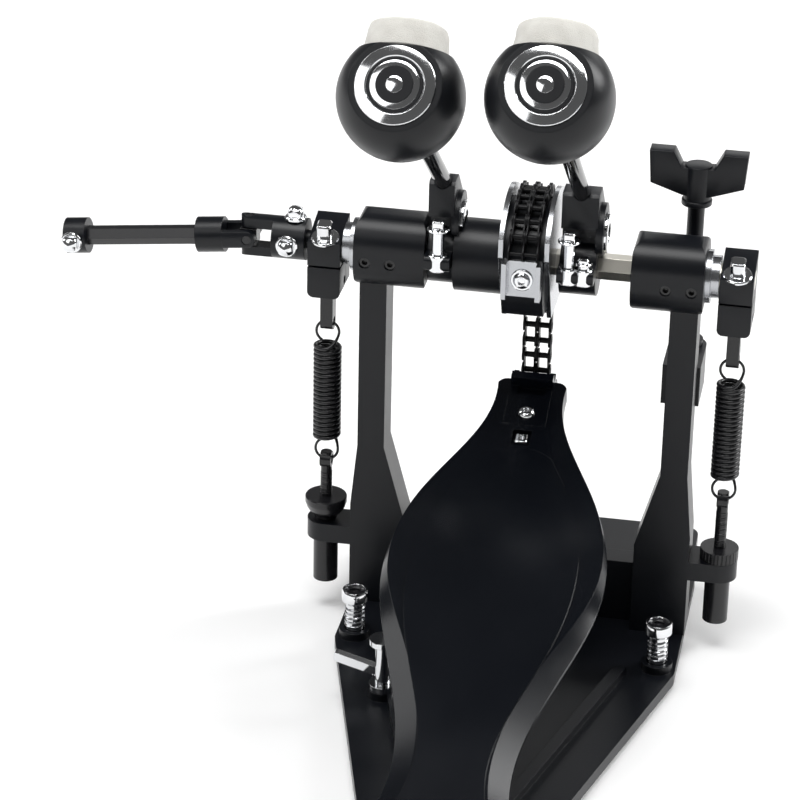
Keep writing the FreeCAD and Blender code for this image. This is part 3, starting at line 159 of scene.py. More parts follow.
# %% World and panels
WORLD_STOPS = ((0.0, 0.22), (0.5, 0.09), (0.62, 0.12), (0.80, 0.10), (1.0, 0.08))
world = bpy.data.worlds.new("studio")
scene.world = world
world.use_nodes = True
sky_nodes, sky_links = world.node_tree.nodes, world.node_tree.links
direction = sky_nodes.new("ShaderNodeTexCoord")
height = sky_nodes.new("ShaderNodeSeparateXYZ")
share = sky_nodes.new("ShaderNodeMapRange")
share.inputs["From Min"].default_value = -1.0
ramp = sky_nodes.new("ShaderNodeValToRGB")
for place, tone in WORLD_STOPS[1:-1]:
    ramp.color_ramp.elements.new(place)
for stop, (place, tone) in zip(ramp.color_ramp.elements, WORLD_STOPS):
    stop.position = place
    stop.color = (tone, tone, tone, 1)
sky_links.new(direction.outputs["Generated"], height.inputs["Vector"])
sky_links.new(height.outputs["Z"], share.inputs["Value"])
sky_links.new(share.outputs["Result"], ramp.inputs["Fac"])
sky_rays = sky_nodes.new("ShaderNodeLightPath")
sky_mix = sky_nodes.new("ShaderNodeMix")
sky_mix.data_type = "RGBA"
sky_mix.inputs["B"].default_value = (1, 1, 1, 1)
sky_links.new(sky_rays.outputs["Is Camera Ray"], sky_mix.inputs["Factor"])
sky_links.new(ramp.outputs["Color"], sky_mix.inputs["A"])
sky_links.new(sky_mix.outputs["Result"], sky_nodes["Background"].inputs["Color"])

# Each panel: name, place, width and height in metres, watts.
PANELS = (("panel_above", (-0.2, -0.45, 2.3), 1.7, 1.0, 38),
          ("panel_left", (-1.6, 0.2, 1.3), 0.8, 1.2, 10),
          ("panel_right", (1.5, 0.7, 1.2), 0.7, 1.2, 26),
          ("panel_front", (-0.75, -1.25, 1.35), 0.9, 0.8, 4),
          ("panel_back", (0.5, 2.3, 0.95), 2.0, 0.7, 6))
for name, place, width, tall, watts in PANELS:
    lamp = bpy.data.lights.new(name, "AREA")
    lamp.shape = "RECTANGLE"
    lamp.size, lamp.size_y, lamp.energy = width, tall, watts
    stand = bpy.data.objects.new(name, lamp)
    stand.location = place
    stand.rotation_euler = (axle - Vector(place)).to_track_quat("-Z", "Y").to_euler()
    scene.collection.objects.link(stand)
print("panels:", len(PANELS))

# %% [markdown]
# Finishes share two effects, so each is one node group.
# Fine grain is the skin of a powder coat, cast part or plate: a noise at a size in millimetres, which gives a
# height for the bump, a tone that drifts over the surface and a roughness between two limits. Soft edge rounds
# the light on sharp CAD edges with a Bevel node, as tumbling and plating do on the real parts.

# %% Shader groups
def new_group(name, inputs, outputs):
    group = bpy.data.node_groups.new(name, "ShaderNodeTree")
    for label, kind, value in inputs:
        socket = group.interface.new_socket(label, in_out="INPUT", socket_type=kind)
        socket.default_value = value
    for label, kind in outputs:
        group.interface.new_socket(label, in_out="OUTPUT", socket_type=kind)
    return group, group.nodes.new("NodeGroupInput"), group.nodes.new("NodeGroupOutput")


FLOAT, VECTOR = "NodeSocketFloat", "NodeSocketVector"
grain_group, grain_in, grain_out = new_group(
    "fine_grain",
    [("Grain per Metre", FLOAT, 1500.0), ("Drift per Metre", FLOAT, 25.0), ("Smooth", FLOAT, 0.3),
     ("Rough", FLOAT, 0.5)],
    [("Height", FLOAT), ("Tone", FLOAT), ("Roughness", FLOAT)])
grain_at = grain_group.nodes.new("ShaderNodeTexCoord")
grain_noise, drift_noise = (grain_group.nodes.new("ShaderNodeTexNoise") for _ in range(2))
grain_noise.inputs["Detail"].default_value = 2.0
drift_noise.inputs["Detail"].default_value = 4.0
limits = grain_group.nodes.new("ShaderNodeMapRange")
for texture, rate in ((grain_noise, "Grain per Metre"), (drift_noise, "Drift per Metre")):
    grain_group.links.new(grain_at.outputs["Object"], texture.inputs["Vector"])
    grain_group.links.new(grain_in.outputs[rate], texture.inputs["Scale"])
grain_group.links.new(drift_noise.outputs["Fac"], limits.inputs["Value"])
grain_group.links.new(grain_in.outputs["Smooth"], limits.inputs["To Min"])
grain_group.links.new(grain_in.outputs["Rough"], limits.inputs["To Max"])
grain_group.links.new(grain_noise.outputs["Fac"], grain_out.inputs["Height"])
grain_group.links.new(drift_noise.outputs["Fac"], grain_out.inputs["Tone"])
grain_group.links.new(limits.outputs["Result"], grain_out.inputs["Roughness"])

edge_group, edge_in, edge_out = new_group(
    "soft_edge", [("Radius", FLOAT, 0.0004), ("Height", FLOAT, 0.5), ("Depth", FLOAT, 0.00002)],
    [("Normal", VECTOR)])
rounding = edge_group.nodes.new("ShaderNodeBevel")
rounding.samples = 4
relief = edge_group.nodes.new("ShaderNodeBump")
edge_group.links.new(edge_in.outputs["Radius"], rounding.inputs["Radius"])
edge_group.links.new(rounding.outputs["Normal"], relief.inputs["Normal"])
edge_group.links.new(edge_in.outputs["Height"], relief.inputs["Height"])
edge_group.links.new(edge_in.outputs["Depth"], relief.inputs["Distance"])
edge_group.links.new(relief.outputs["Normal"], edge_out.inputs["Normal"])
print("groups:", grain_group.name, edge_group.name)

# %% [markdown]
# Now the finishes themselves, named as a maker would: powder coat and a smoother one for the board, bright and
# satin chrome, warm nickel, blacked steel, duller for the chain and glossy for the rods, moulded ball and rubber.
# Each could be a material of its own, but they differ only in a few numbers, so one function builds them. What is
# the same all over, such as metallic, sits on the shader's own socket; only what changes over the surface is linked.

# %% Finishes
def finish(name, dark, pale, rough, grain=1500.0, depth=0.00002, edge=0.0004, metallic=0.0, specular=0.5):
    made, parts, links = plain_material(name)
    shader = parts["Principled BSDF"]
    skin, edges = (parts.new("ShaderNodeGroup") for _ in range(2))
    skin.node_tree, edges.node_tree = grain_group, edge_group
    skin.inputs["Grain per Metre"].default_value = grain
    skin.inputs["Smooth"].default_value, skin.inputs["Rough"].default_value = rough
    edges.inputs["Radius"].default_value = edge
    edges.inputs["Depth"].default_value = depth
    tint = parts.new("ShaderNodeMix")
    tint.data_type = "RGBA"
    tint.inputs["A"].default_value = (*dark, 1)
    tint.inputs["B"].default_value = (*pale, 1)
    links.new(skin.outputs["Tone"], tint.inputs["Factor"])
    links.new(tint.outputs["Result"], shader.inputs["Base Color"])
    links.new(skin.outputs["Roughness"], shader.inputs["Roughness"])
    links.new(skin.outputs["Height"], edges.inputs["Height"])
    links.new(edges.outputs["Normal"], shader.inputs["Normal"])
    shader.inputs["Metallic"].default_value = metallic
    shader.inputs["Specular IOR Level"].default_value = specular
    return made


powder_coat = finish("powder_coat", (0.0025, 0.0032, 0.0052), (0.0052, 0.0062, 0.0088), (0.28, 0.40),
                     grain=1300, depth=0.00003, specular=0.34)
chrome = finish("bright_chrome", (0.74, 0.75, 0.77), (0.86, 0.87, 0.88), (0.03, 0.11),
                depth=0.000001, edge=0.0003, metallic=1.0)
board_coat = finish("board_coat", (0.0018, 0.0026, 0.0046), (0.0036, 0.0048, 0.0076), (0.18, 0.26),
                    grain=1300, specular=0.25)
satin = finish("satin_chrome", (0.40, 0.41, 0.43), (0.52, 0.53, 0.55), (0.16, 0.28),
               depth=0.000003, edge=0.0003, metallic=1.0)
nickel = finish("warm_nickel", (0.72, 0.69, 0.61), (0.88, 0.85, 0.77), (0.22, 0.36),
                grain=900, depth=0.000004, metallic=1.0)
blacked_steel = finish("blacked_steel", (0.006, 0.006, 0.007), (0.013, 0.013, 0.015), (0.20, 0.30),
                       grain=2200, depth=0.00001, edge=0.0003)
chain_black = finish("chain_black", (0.004, 0.004, 0.005), (0.009, 0.009, 0.010), (0.34, 0.46),
                     grain=2200, depth=0.00001, edge=0.0003, specular=0.2)
rod_black = finish("rod_black", (0.003, 0.003, 0.004), (0.006, 0.006, 0.007), (0.05, 0.10),
                   grain=2200, depth=0.000002, edge=0.0003)
moulded_ball = finish("moulded_ball", (0.005, 0.0056, 0.0072), (0.009, 0.0098, 0.012), (0.28, 0.38),
                      grain=2600, depth=0.00001, edge=0.0008, specular=0.3)
rubber = finish("rubber", (0.012, 0.012, 0.012), (0.024, 0.024, 0.024), (0.7, 0.88),
                grain=2200, depth=0.00006, edge=0.0006)
FINISH_OF_SLOT = {"black_coat": powder_coat, "chrome": chrome, "nickel": nickel, "black_steel": blacked_steel,
                  "ball": moulded_ball, "rubber": rubber, "pad": rubber}
FINISH_OF_NODE = {"footboard": board_coat, "toe_clip": board_coat, "bearings": satin, "cam_plates": satin,
                  "chain_anchor": satin, "left_beater_rod": rod_black, "right_beater_rod": rod_black}
print("slots with a finish:", ", ".join(sorted(FINISH_OF_SLOT)))

# %% [markdown]
# Most CAD pieces stay as they are and only get their finish.
# Each could be given one by hand, but the record names a material slot for every node, so a table from slot to
# finish dresses them all at once. A second table has the few nodes that look different from the rest of their slot.

# %% Dress the CAD nodes that stay
slot_of_node = {part["node"]: part["material_slot"] for part in frame["record"]["subparts"]}
for node, piece in frame["nodes"].items():
    piece.data.materials.clear()
    piece.data.materials.append(FINISH_OF_NODE.get(node, FINISH_OF_SLOT[slot_of_node[node]]))
print("dressed:", len(slot_of_node), "nodes")

# %% [markdown]
# Small turned and square parts are stacks of outlines, as on a lathe or a milling machine.
# A screw head, a cap or a pad could start from a primitive and be bevelled by hand. Here a list of (radius,
# height, squareness) rows says the whole form, and one helper lofts it, closes both ends and marks sharp edges.

# %% Helpers for turned parts
SQUARE_CORNER = 1.28
toward, upward = Vector((0, -1, 0)), Vector((0, 0, 1))


def shade(mesh, degrees=32):
    mesh.shade_smooth()
    mesh.set_sharp_from_angle(angle=math.radians(degrees))
    return mesh


def stack(name, rows, around=40):
    form = bmesh.new()
    loops = []
    for radius, level, square in rows:
        loop = []
        for k in range(around):
            angle = 2 * math.pi * k / around
            along, across = math.cos(angle), math.sin(angle)
            flat = min(1 / max(abs(along), abs(across)), SQUARE_CORNER)
            reach = radius * (1 + square * (flat - 1))
            loop.append(form.verts.new((reach * along * MM, reach * across * MM, level * MM)))
        loops.append(loop)
    for low, high in zip(loops, loops[1:]):
        for k in range(around):
            after = (k + 1) % around
            form.faces.new((low[k], low[after], high[after], high[k]))
    form.faces.new(loops[0][::-1])
    form.faces.new(loops[-1])
    mesh = bpy.data.meshes.new(name)
    form.to_mesh(mesh)
    form.free()
    return shade(mesh)


def placed(mesh, foot, axis):
    mesh.transform(Matrix.Translation(foot) @ axis.to_track_quat("Z", "Y").to_matrix().to_4x4())
    return mesh


def new_piece(name, mesh, paint, body):
    piece = bpy.data.objects.new(name, mesh)
    scene.collection.objects.link(piece)
    mesh.materials.clear()
    mesh.materials.append(paint)
    if body:
        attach(piece, body)
    return piece


print("helpers: shade, stack, placed, new_piece")

# %% [markdown]
# The posts are almost straight on their outer side, and the left spring arm and the hoop jaw are thin. The CAD
# solids are plainer there.
# New outlines could be drawn, but a merged copy of the CAD mesh keeps every seat and hole, and only the outer
# corners of the posts and the tops of arm and jaw move.

# %% Slimmer posts and jaw
FOOT_OUT, SLIM_OUT, ARM_THIN, JAW_THIN = 86.0, 82.5, 6.0, 4.0
WELD, NEAR, NUT_GAP = 0.001, 0.1, 0.2


def merged_copy(node):
    form = bmesh.new()
    form.from_mesh(frame["nodes"][node].data)
    form.transform(frame["nodes"][node].matrix_world)
    bmesh.ops.remove_doubles(form, verts=form.verts, dist=WELD * MM)
    return form


def plain_mesh(name, form):
    form.verts.index_update()
    mesh = bpy.data.meshes.new(name)
    mesh.from_pydata([v.co for v in form.verts], [], [[v.index for v in face.verts] for face in form.faces])
    form.free()
    return shade(mesh)


left_arm_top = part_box("left_tension_nut")[0].z - NUT_GAP * MM
for side_name, sign in (("left", -1), ("right", 1)):
    form = merged_copy(side_name + "_post")
    for corner in form.verts:
        if side_name == "left" and abs(corner.co.z - left_arm_top) < NEAR * MM:
            corner.co.z -= ARM_THIN * MM
        if abs(sign * corner.co.x - FOOT_OUT * MM) < NEAR * MM:
            corner.co.x = sign * SLIM_OUT * MM
    slim = new_piece(side_name + "_slim_post", plain_mesh("post", form), powder_coat, "frame")
    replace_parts(slim, side_name + "_post")

form = merged_copy("hoop_jaw")
jaw_low, jaw_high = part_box("hoop_jaw")
for corner in form.verts:
    if corner.co.z > (jaw_low.z + jaw_high.z) / 2:
        corner.co.z -= JAW_THIN * MM
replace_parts(new_piece("thin_hoop_jaw", plain_mesh("jaw", form), powder_coat, "jaw"), "hoop_jaw")
print("slimmer: 2 posts, 1 jaw")

# %% [markdown]
# The tall handle, the beater holders and the spring hubs are cast or moulded with soft corners, and the left
# tension nut widens upward like a cup.
# Fillets could be cut in CAD, but they matter only to the eye. Here the sharp edges of a merged copy are bevelled,
# on the handle only above the axle, and the nut is a stack of rows.

# %% Softer handle, holders and hubs, and the cup nut
# Each soft node: its body, the bevel and the height above which it applies.
SOFT_NODES = (("wing_handle", "handle", 1.3, axle.z), ("left_beater_holder", "slave", 1.5, 0),
              ("right_beater_holder", "axle", 1.5, 0), ("left_spring_hub", "slave", 0.9, 0),
              ("right_spring_hub", "axle", 0.9, 0))
FLAT_ANGLE, SHARP_ANGLE, BEVEL_STEPS = math.radians(1), math.radians(35), 3
edge_count = 0
for node, body, reach, above in SOFT_NODES:
    form = merged_copy(node)
    bmesh.ops.dissolve_limit(form, angle_limit=FLAT_ANGLE, verts=form.verts, edges=form.edges)
    sharp = [edge for edge in form.edges if edge.is_manifold and edge.is_convex and edge.verts[0].co.z > above
             and edge.calc_face_angle() > SHARP_ANGLE]
    bmesh.ops.bevel(form, geom=sharp, offset=reach * MM, segments=BEVEL_STEPS, profile=0.5, affect="EDGES",
                    clamp_overlap=True)
    bmesh.ops.triangulate(form, faces=form.faces)
    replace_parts(new_piece("soft_" + node, plain_mesh(node, form), powder_coat, body), node)
    edge_count += len(sharp)

NUT_TALL = 11.8
NUT_ROWS = [(5.4, 0, 0), (5.4, 1.6, 0), (6.6, 2.4, 0), (8.2, 4.2, 0), (9.4, 6.2, 0), (10.0, 8.2, 0), (10.2, 8.6, 0),
            (10.2, 11.4, 0), (9.9, NUT_TALL, 0), (2.9, NUT_TALL, 0)]
nut_low, nut_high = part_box("left_tension_nut")
nut_foot = Vector(((nut_low.x + nut_high.x) / 2, (nut_low.y + nut_high.y) / 2, nut_high.z - NUT_TALL * MM))
cup_mesh = placed(stack("cup", NUT_ROWS, 56), nut_foot, upward)
cup = new_piece("left_cup_nut", cup_mesh, blacked_steel, "left_nut")
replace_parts(cup, "left_tension_nut")
print("edges softened:", edge_count)

# %% [markdown]
# The same screw sits in many places, so Geometry Nodes set it there.
# Copying and turning each one by hand works too, but then a change means doing it all again. The tree takes a
# mesh of points that carry an "axis" attribute, puts the pattern on each point, turned along that axis, makes
# the copies real and gives them their finish. What it makes is turned into a plain mesh, one for each body.

# %% A tree that sets one pattern on many points
def place_tree(name, pivot):
    tree = bpy.data.node_groups.new(name, "GeometryNodeTree")
    for label, kind in (("Places", "Geometry"), ("Pattern", "Object"), ("Finish", "Material")):
        tree.interface.new_socket(label, in_out="INPUT", socket_type="NodeSocket" + kind)
    tree.interface.new_socket("Set", in_out="OUTPUT", socket_type="NodeSocketGeometry")
    nodes, links = tree.nodes, tree.links
    given, made = nodes.new("NodeGroupInput"), nodes.new("NodeGroupOutput")
    pattern = nodes.new("GeometryNodeObjectInfo")
    axis = nodes.new("GeometryNodeInputNamedAttribute")
    axis.data_type = "FLOAT_VECTOR"
    axis.inputs["Name"].default_value = "axis"
    aim = nodes.new("FunctionNodeAlignRotationToVector")
    aim.axis, aim.pivot_axis = "Z", pivot
    put, real, paint = (nodes.new("GeometryNode" + kind) for kind in
                        ("InstanceOnPoints", "RealizeInstances", "SetMaterial"))
    links.new(given.outputs["Pattern"], pattern.inputs["Object"])
    links.new(axis.outputs["Attribute"], aim.inputs["Vector"])
    links.new(given.outputs["Places"], put.inputs["Points"])
    links.new(pattern.outputs["Geometry"], put.inputs["Instance"])
    links.new(aim.outputs["Rotation"], put.inputs["Rotation"])
    links.new(put.outputs["Instances"], real.inputs["Geometry"])
    links.new(real.outputs["Geometry"], paint.inputs["Geometry"])
    links.new(given.outputs["Finish"], paint.inputs["Material"])
    links.new(paint.outputs["Geometry"], made.inputs["Set"])
    return tree


def run_tree(tree, base, values):
    maker = bpy.data.objects.new("maker", base)
    scene.collection.objects.link(maker)
    modifier = maker.modifiers.new("tree", "NODES")
    modifier.node_group = tree
    for socket in tree.interface.items_tree:
        if socket.in_out == "INPUT" and socket.name in values:
            modifier[socket.identifier] = values[socket.name]
    maker.update_tag()
    mesh = bpy.data.meshes.new_from_object(maker.evaluated_get(bpy.context.evaluated_depsgraph_get()))
    bpy.data.objects.remove(maker)
    return mesh


screw_tree, link_tree = place_tree("set_screws", "AUTO"), place_tree("set_links", "X")


def set_on(tree, pattern, spots, paint):
    points = bpy.data.meshes.new("places")
    points.from_pydata([spot for spot, axis in spots], [], [])
    store = points.attributes.new("axis", "FLOAT_VECTOR", "POINT")
    for item, (spot, axis) in zip(store.data, spots):
        item.vector = axis
    holder = bpy.data.objects.new("pattern", pattern)
    mesh = run_tree(tree, points, {"Pattern": holder, "Finish": paint})
    bpy.data.objects.remove(holder)
    return shade(mesh)


print("trees:", screw_tree.name, link_tree.name)

# %% [markdown]
# Drum-key screws: a square head on a round flange, turned with the same key as a drum's tension rods.
# They could be set by eye, but each place is read from the CAD screw it stands for, so it stays on its seat. Hub
# screws are tall and lean with the hub's sloping top, clamp screws show a long shank, and the bolts of the yoke and
# the collar have a domed top.

# %% Drum-key screws
def key_screw(flange, seat, half, tall, thick, shank):
    return stack("key_screw", [(thick, -shank, 0), (thick, 0, 0), (flange, 0, 0), (flange, seat * 0.6, 0),
                               (flange - 0.5, seat, 0), (half + 0.5, seat, 0), (half, seat + 0.2, 1),
                               (half, tall - 0.8, 1), (half - 0.6, tall, 1)])


def middle(node):
    low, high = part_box(node)
    return (low + high) / 2


def key_screws(name, spots, body, pattern, *nodes):
    piece = new_piece(name, set_on(screw_tree, pattern, spots, chrome), chrome, body)
    if nodes:
        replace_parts(piece, *nodes)


HUB_SLOPE = math.atan2(6.5, 24)
HUB_SEAT, HUB_FRONT, BOLT_REACH, BOLT_TALL = 4.58, 8.0, 5.2, 6.5
CLAMP_SEAT, CLAMP_DROP, CLAMP_STEP = 18.5, 10.5, 7.0
hub_out = Vector((0, -math.sin(HUB_SLOPE), math.cos(HUB_SLOPE)))
tall_screw = key_screw(flange=6.8, seat=1.4, half=3.4, tall=9.0, thick=2.4, shank=1.0)
clamp_screw = key_screw(flange=5.3, seat=1.0, half=2.7, tall=4.8, thick=2.8, shank=19.0)
lower_screw = key_screw(flange=3.9, seat=1.0, half=2.4, tall=3.2, thick=2.8, shank=9.0)
cap_bolt = stack("cap_bolt", [(2.4, -2, 0), (2.4, 0, 0), (BOLT_REACH, 0, 0), (BOLT_REACH, 1.0, 0), (4.7, 1.5, 0),
                              (3.6, 1.5, 0.7), (3.6, 3.6, 0.7), (3.3, 5.0, 0.3), (2.0, 6.1, 0), (0.01, BOLT_TALL, 0)])
for side_name, body in (("left", "slave"), ("right", "axle")):
    node = side_name + "_hub_screw"
    seat = Vector((middle(node).x, -HUB_FRONT * MM, axle.z + HUB_SEAT * MM))
    key_screws(side_name + "_hub_key_screw", [(seat, hub_out)], body, tall_screw, node)
yoke_low, yoke_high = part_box("yoke_bolts")
bolt_top = Vector((yoke_high.x - BOLT_REACH * MM, 0, yoke_high.z - BOLT_TALL * MM))
bolt_front = Vector((yoke_low.x + BOLT_REACH * MM, yoke_low.y + BOLT_TALL * MM, axle.z))
key_screws("yoke_key_bolts", [(bolt_top, upward), (bolt_front, toward)], "slave", cap_bolt, "yoke_bolts")
collar = middle("collar_screw")
collar.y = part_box("collar_screw")[0].y + BOLT_TALL * MM
key_screws("collar_key_screw", [(collar, toward)], "drive_shaft", cap_bolt, "collar_screw")
left_clamp, right_clamp = middle("left_clamp_screws"), middle("right_clamp_screws")
left_clamp.z = axle.z + CLAMP_SEAT * MM
first_clamp = Vector((right_clamp.x - CLAMP_STEP / 2 * MM, right_clamp.y, left_clamp.z))
second_clamp = first_clamp + Vector((CLAMP_STEP, 0, -CLAMP_DROP)) * MM
key_screws("left_clamp_key_screw", [(left_clamp, upward)], "slave", clamp_screw, "left_clamp_screws")
key_screws("right_clamp_key_screw", [(first_clamp, upward)], "axle", clamp_screw, "right_clamp_screws")
key_screws("right_lower_key_screw", [(second_clamp, upward)], "axle", lower_screw)
print("drum-key screws: 8")

# %% [markdown]
# Other small bright parts: the socket screw of the chain's anchor, the screw and the nut in the footboard's toe,
# and the barrels round the clamp screws of the beater holders.
# A library screw would do for some, but stacks give each its own form. The footboard slopes, so its parts are
# placed along the board's own directions.

# %% Socket screw, toe parts and barrels
SOCKET_TALL = 2.5
SOCKET_ROWS = [(2.4, -6, 0), (2.4, 0, 0), (5.2, 0, 0), (5.2, 0.7, 0), (4.9, 0.9, 0), (4.0, 0.9, 0), (3.9, 1.4, 0),
               (3.3, 2.1, 0), (2.4, SOCKET_TALL, 0), (1.7, SOCKET_TALL, 0), (1.7, 1.2, 0), (0.01, 1.2, 0)]
TOE_ROWS = [(2.5, -6, 0), (2.5, 0, 0), (3.9, 0, 0), (3.9, 0.5, 0), (3.4, 1.3, 0), (2.4, 1.9, 0), (1.5, 2.0, 0),
            (1.5, 0.9, 1), (0.01, 0.9, 0)]
WINDOW_NUT_ROWS = [(2.9, 0, 1), (2.9, 2.6, 1), (2.4, 3.0, 1), (1.5, 3.0, 0), (1.5, 1.4, 0), (0.01, 1.4, 0)]
BARREL_ROWS = [(4.1, 0, 0), (4.5, 0.4, 0), (4.5, 7.4, 0), (4.1, 7.8, 0)]
HEEL, TOE = Vector((0, -236, 24)) * MM, Vector((0, 25.5, 118)) * MM
BOARD_HALF_T, TOE_SCREW_BACK, WINDOW_BACK, WINDOW_DEEP = 3.5, 22.0, 38.5, 3.0
along = (TOE - HEEL).normalized()
off_board = Vector((1, 0, 0)).cross(along)

anchor_seat = middle("anchor_screw")
anchor_seat.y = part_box("anchor_screw")[0].y + SOCKET_TALL * MM
socket = new_piece("anchor_socket_screw", placed(stack("socket", SOCKET_ROWS), anchor_seat, toward),
                   chrome, "axle")
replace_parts(socket, "anchor_screw")
toe_seat = TOE + (off_board * BOARD_HALF_T - along * TOE_SCREW_BACK) * MM
toe_head = new_piece("toe_domed_screw", placed(stack("toe", TOE_ROWS), toe_seat, off_board),
                     chrome, "footboard")
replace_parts(toe_head, "toe_screw")
nut_seat = TOE + (off_board * (BOARD_HALF_T - WINDOW_DEEP) - along * WINDOW_BACK) * MM
new_piece("window_nut", placed(stack("nut", WINDOW_NUT_ROWS), nut_seat, off_board), chrome, "footboard")
# Each barrel: the screw seat it hangs below, by how much, and its body.
BARRELS = (("left_clamp_barrel", left_clamp, 19.9, "slave"), ("right_clamp_barrel", first_clamp, 20.4, "axle"),
           ("right_lower_barrel", second_clamp, 9.9, "axle"))
for name, seat, drop, body in BARRELS:
    new_piece(name, placed(stack("barrel", BARREL_ROWS), seat - upward * drop * MM, upward), chrome, body)
print("small bright parts:", 3 + len(BARRELS))

# %% [markdown]
# On the right flank of each holder sits a bright disc; the left one ends flat above the sleeve beside it.
# It could be cut with a Boolean. An outline whose points are kept above the sleeve does the same with fewer faces.

# %% Holder discs
DISC_R, DISC_T, DISC_RISE, SLEEVE_CLEAR, DISC_SIDES = 9.6, 1.6, 17.0, 17.7, 48
DISC_ROWS = ((DISC_R, 0), (DISC_R, DISC_T - 0.4), (DISC_R - 0.5, DISC_T), (5.0, DISC_T), (4.6, DISC_T - 0.5),
             (0.4, DISC_T - 0.5))


def disc(name, flank, clear, body):
    form = bmesh.new()
    rows = []
    for radius, x in DISC_ROWS:
        row = []
        for k in range(DISC_SIDES):
            angle = 2 * math.pi * k / DISC_SIDES
            y, z = radius * math.cos(angle), max(DISC_RISE + radius * math.sin(angle), clear)
            row.append(form.verts.new((flank + x * MM, y * MM, axle.z + z * MM)))
        rows.append(row)
    for low, high in zip(rows, rows[1:]):
        for k in range(DISC_SIDES):
            form.faces.new((low[k], low[k - 1], high[k - 1], high[k]))
    form.faces.new(rows[0])
    form.faces.new(rows[-1][::-1])
    bmesh.ops.recalc_face_normals(form, faces=form.faces)
    mesh = bpy.data.meshes.new(name)
    form.to_mesh(mesh)
    form.free()
    new_piece(name, shade(mesh), chrome, body)


disc("left_holder_disc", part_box("left_beater_holder")[1].x, SLEEVE_CLEAR, "slave")
disc("right_holder_disc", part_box("right_beater_holder")[1].x, 0.0, "axle")
print("holder discs: 2")

# %% [markdown]
# The roller chain has two rows: outer links of three plates with two pins, and inner links of four plates with
# rollers between them, taking turns.
# A strip with a bump would do from afar, but the gaps between the plates show, so both links are built of prisms.

# %% Chain links
PITCH, LINK_HALF, LINK_WAIST = 8.0, 3.4, 2.5


def add_prism(form, outline, x0, x1):
    near = [form.verts.new((x0 * MM, y * MM, z * MM)) for y, z in outline]
    far = [form.verts.new((x1 * MM, y * MM, z * MM)) for y, z in outline]
    form.faces.new(far)
    form.faces.new(near[::-1])
    for k in range(len(outline)):
        after = (k + 1) % len(outline)
        form.faces.new((near[k], near[after], far[after], far[k]))


def round_outline(radius, centre, count=14):
    return [(radius * math.cos(2 * math.pi * k / count), centre + radius * math.sin(2 * math.pi * k / count))
            for k in range(count)]


def plate_outline():
    high = [(LINK_HALF * math.cos(a), PITCH / 2 + LINK_HALF * math.sin(a))
            for a in (math.radians(d) for d in range(-30, 211, 20))]
    return high + [(-LINK_WAIST, 0)] + [(-y, -z) for y, z in high] + [(LINK_WAIST, 0)]


def link(plates, bars):
    form = bmesh.new()
    for x0, x1 in plates:
        add_prism(form, plate_outline(), x0, x1)
    for x0, x1, radius in bars:
        for centre in (-PITCH / 2, PITCH / 2):
            add_prism(form, round_outline(radius, centre), x0, x1)
    bmesh.ops.recalc_face_normals(form, faces=form.faces)
    mesh = bpy.data.meshes.new("link")
    form.to_mesh(mesh)
    form.free()
    return mesh


# A plate lies between two x; a pin or roller has a radius too.
OUTER_PLATES = [(-6.9, -6.25), (-0.35, 0.35), (6.25, 6.9)]
OUTER_PINS = [(-6.9, 6.9, 0.9), (-7.15, -6.9, 1.7), (6.9, 7.15, 1.7)]
INNER_PLATES = [(-6.15, -5.5), (-1.1, -0.45), (0.45, 1.1), (5.5, 6.15)]
INNER_ROLLERS = [(-5.5, -1.1, 1.4), (1.1, 5.5, 1.4)]
outer_link, inner_link = link(OUTER_PLATES, OUTER_PINS), link(INNER_PLATES, INNER_ROLLERS)
print("faces of the links:", len(outer_link.polygons), len(inner_link.polygons))

# %% [markdown]
# Four bodies carry the chain: the wrap stays on the cam, two pairs peel off it and the run hangs to the footboard.
# An array along a curve would make it one mesh, which can't part there. So the links are set pin by pin with the
# tree, each body with its own.

# %% Chain groups
CHAIN_R, TOE_LINKS, WRAP_END = 33.0, 10, 11
PIN_STEP = 2 * math.asin(PITCH / 2 / CHAIN_R)


def chain_pin(k):
    if k < 0:
        return Vector((0, CHAIN_R * MM, axle.z + k * PITCH * MM))
    return Vector((0, CHAIN_R * math.cos(k * PIN_STEP) * MM, axle.z + CHAIN_R * math.sin(k * PIN_STEP) * MM))


def chain_group(name, first, last, body, node):
    meshes = []
    for pattern, odd in ((outer_link, 0), (inner_link, 1)):
        spots = [((chain_pin(k) + chain_pin(k + 1)) / 2, (chain_pin(k + 1) - chain_pin(k)).normalized())
                 for k in range(first, last) if k % 2 == odd]
        meshes.append(set_on(link_tree, pattern, spots, chain_black))
    form = bmesh.new()
    for mesh in meshes:
        form.from_mesh(mesh)
    form.to_mesh(meshes[0])
    form.free()
    piece = new_piece(name, shade(meshes[0]), chain_black, body)
    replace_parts(piece, node)
    return last - first


chain_count = chain_group("chain_run_links", -TOE_LINKS, 0, "chain_run", "chain_run")
chain_count += chain_group("chain_lower_links", 0, 2, "chain_lower", "chain_lower_pair")
chain_count += chain_group("chain_upper_links", 2, 4, "chain_upper", "chain_upper_pair")
chain_count += chain_group("chain_wrap_links", 4, WRAP_END, "axle", "chain_wrap")
print("chain links:", chain_count)

# %% [markdown]
# Springs and threads are both a wire that follows a path.
# A curve with a bevel would do too, but then each needs its own. One small tree takes points in a row, with a
# "thick" attribute for the share of the wire's radius there, and sweeps a circle along them.

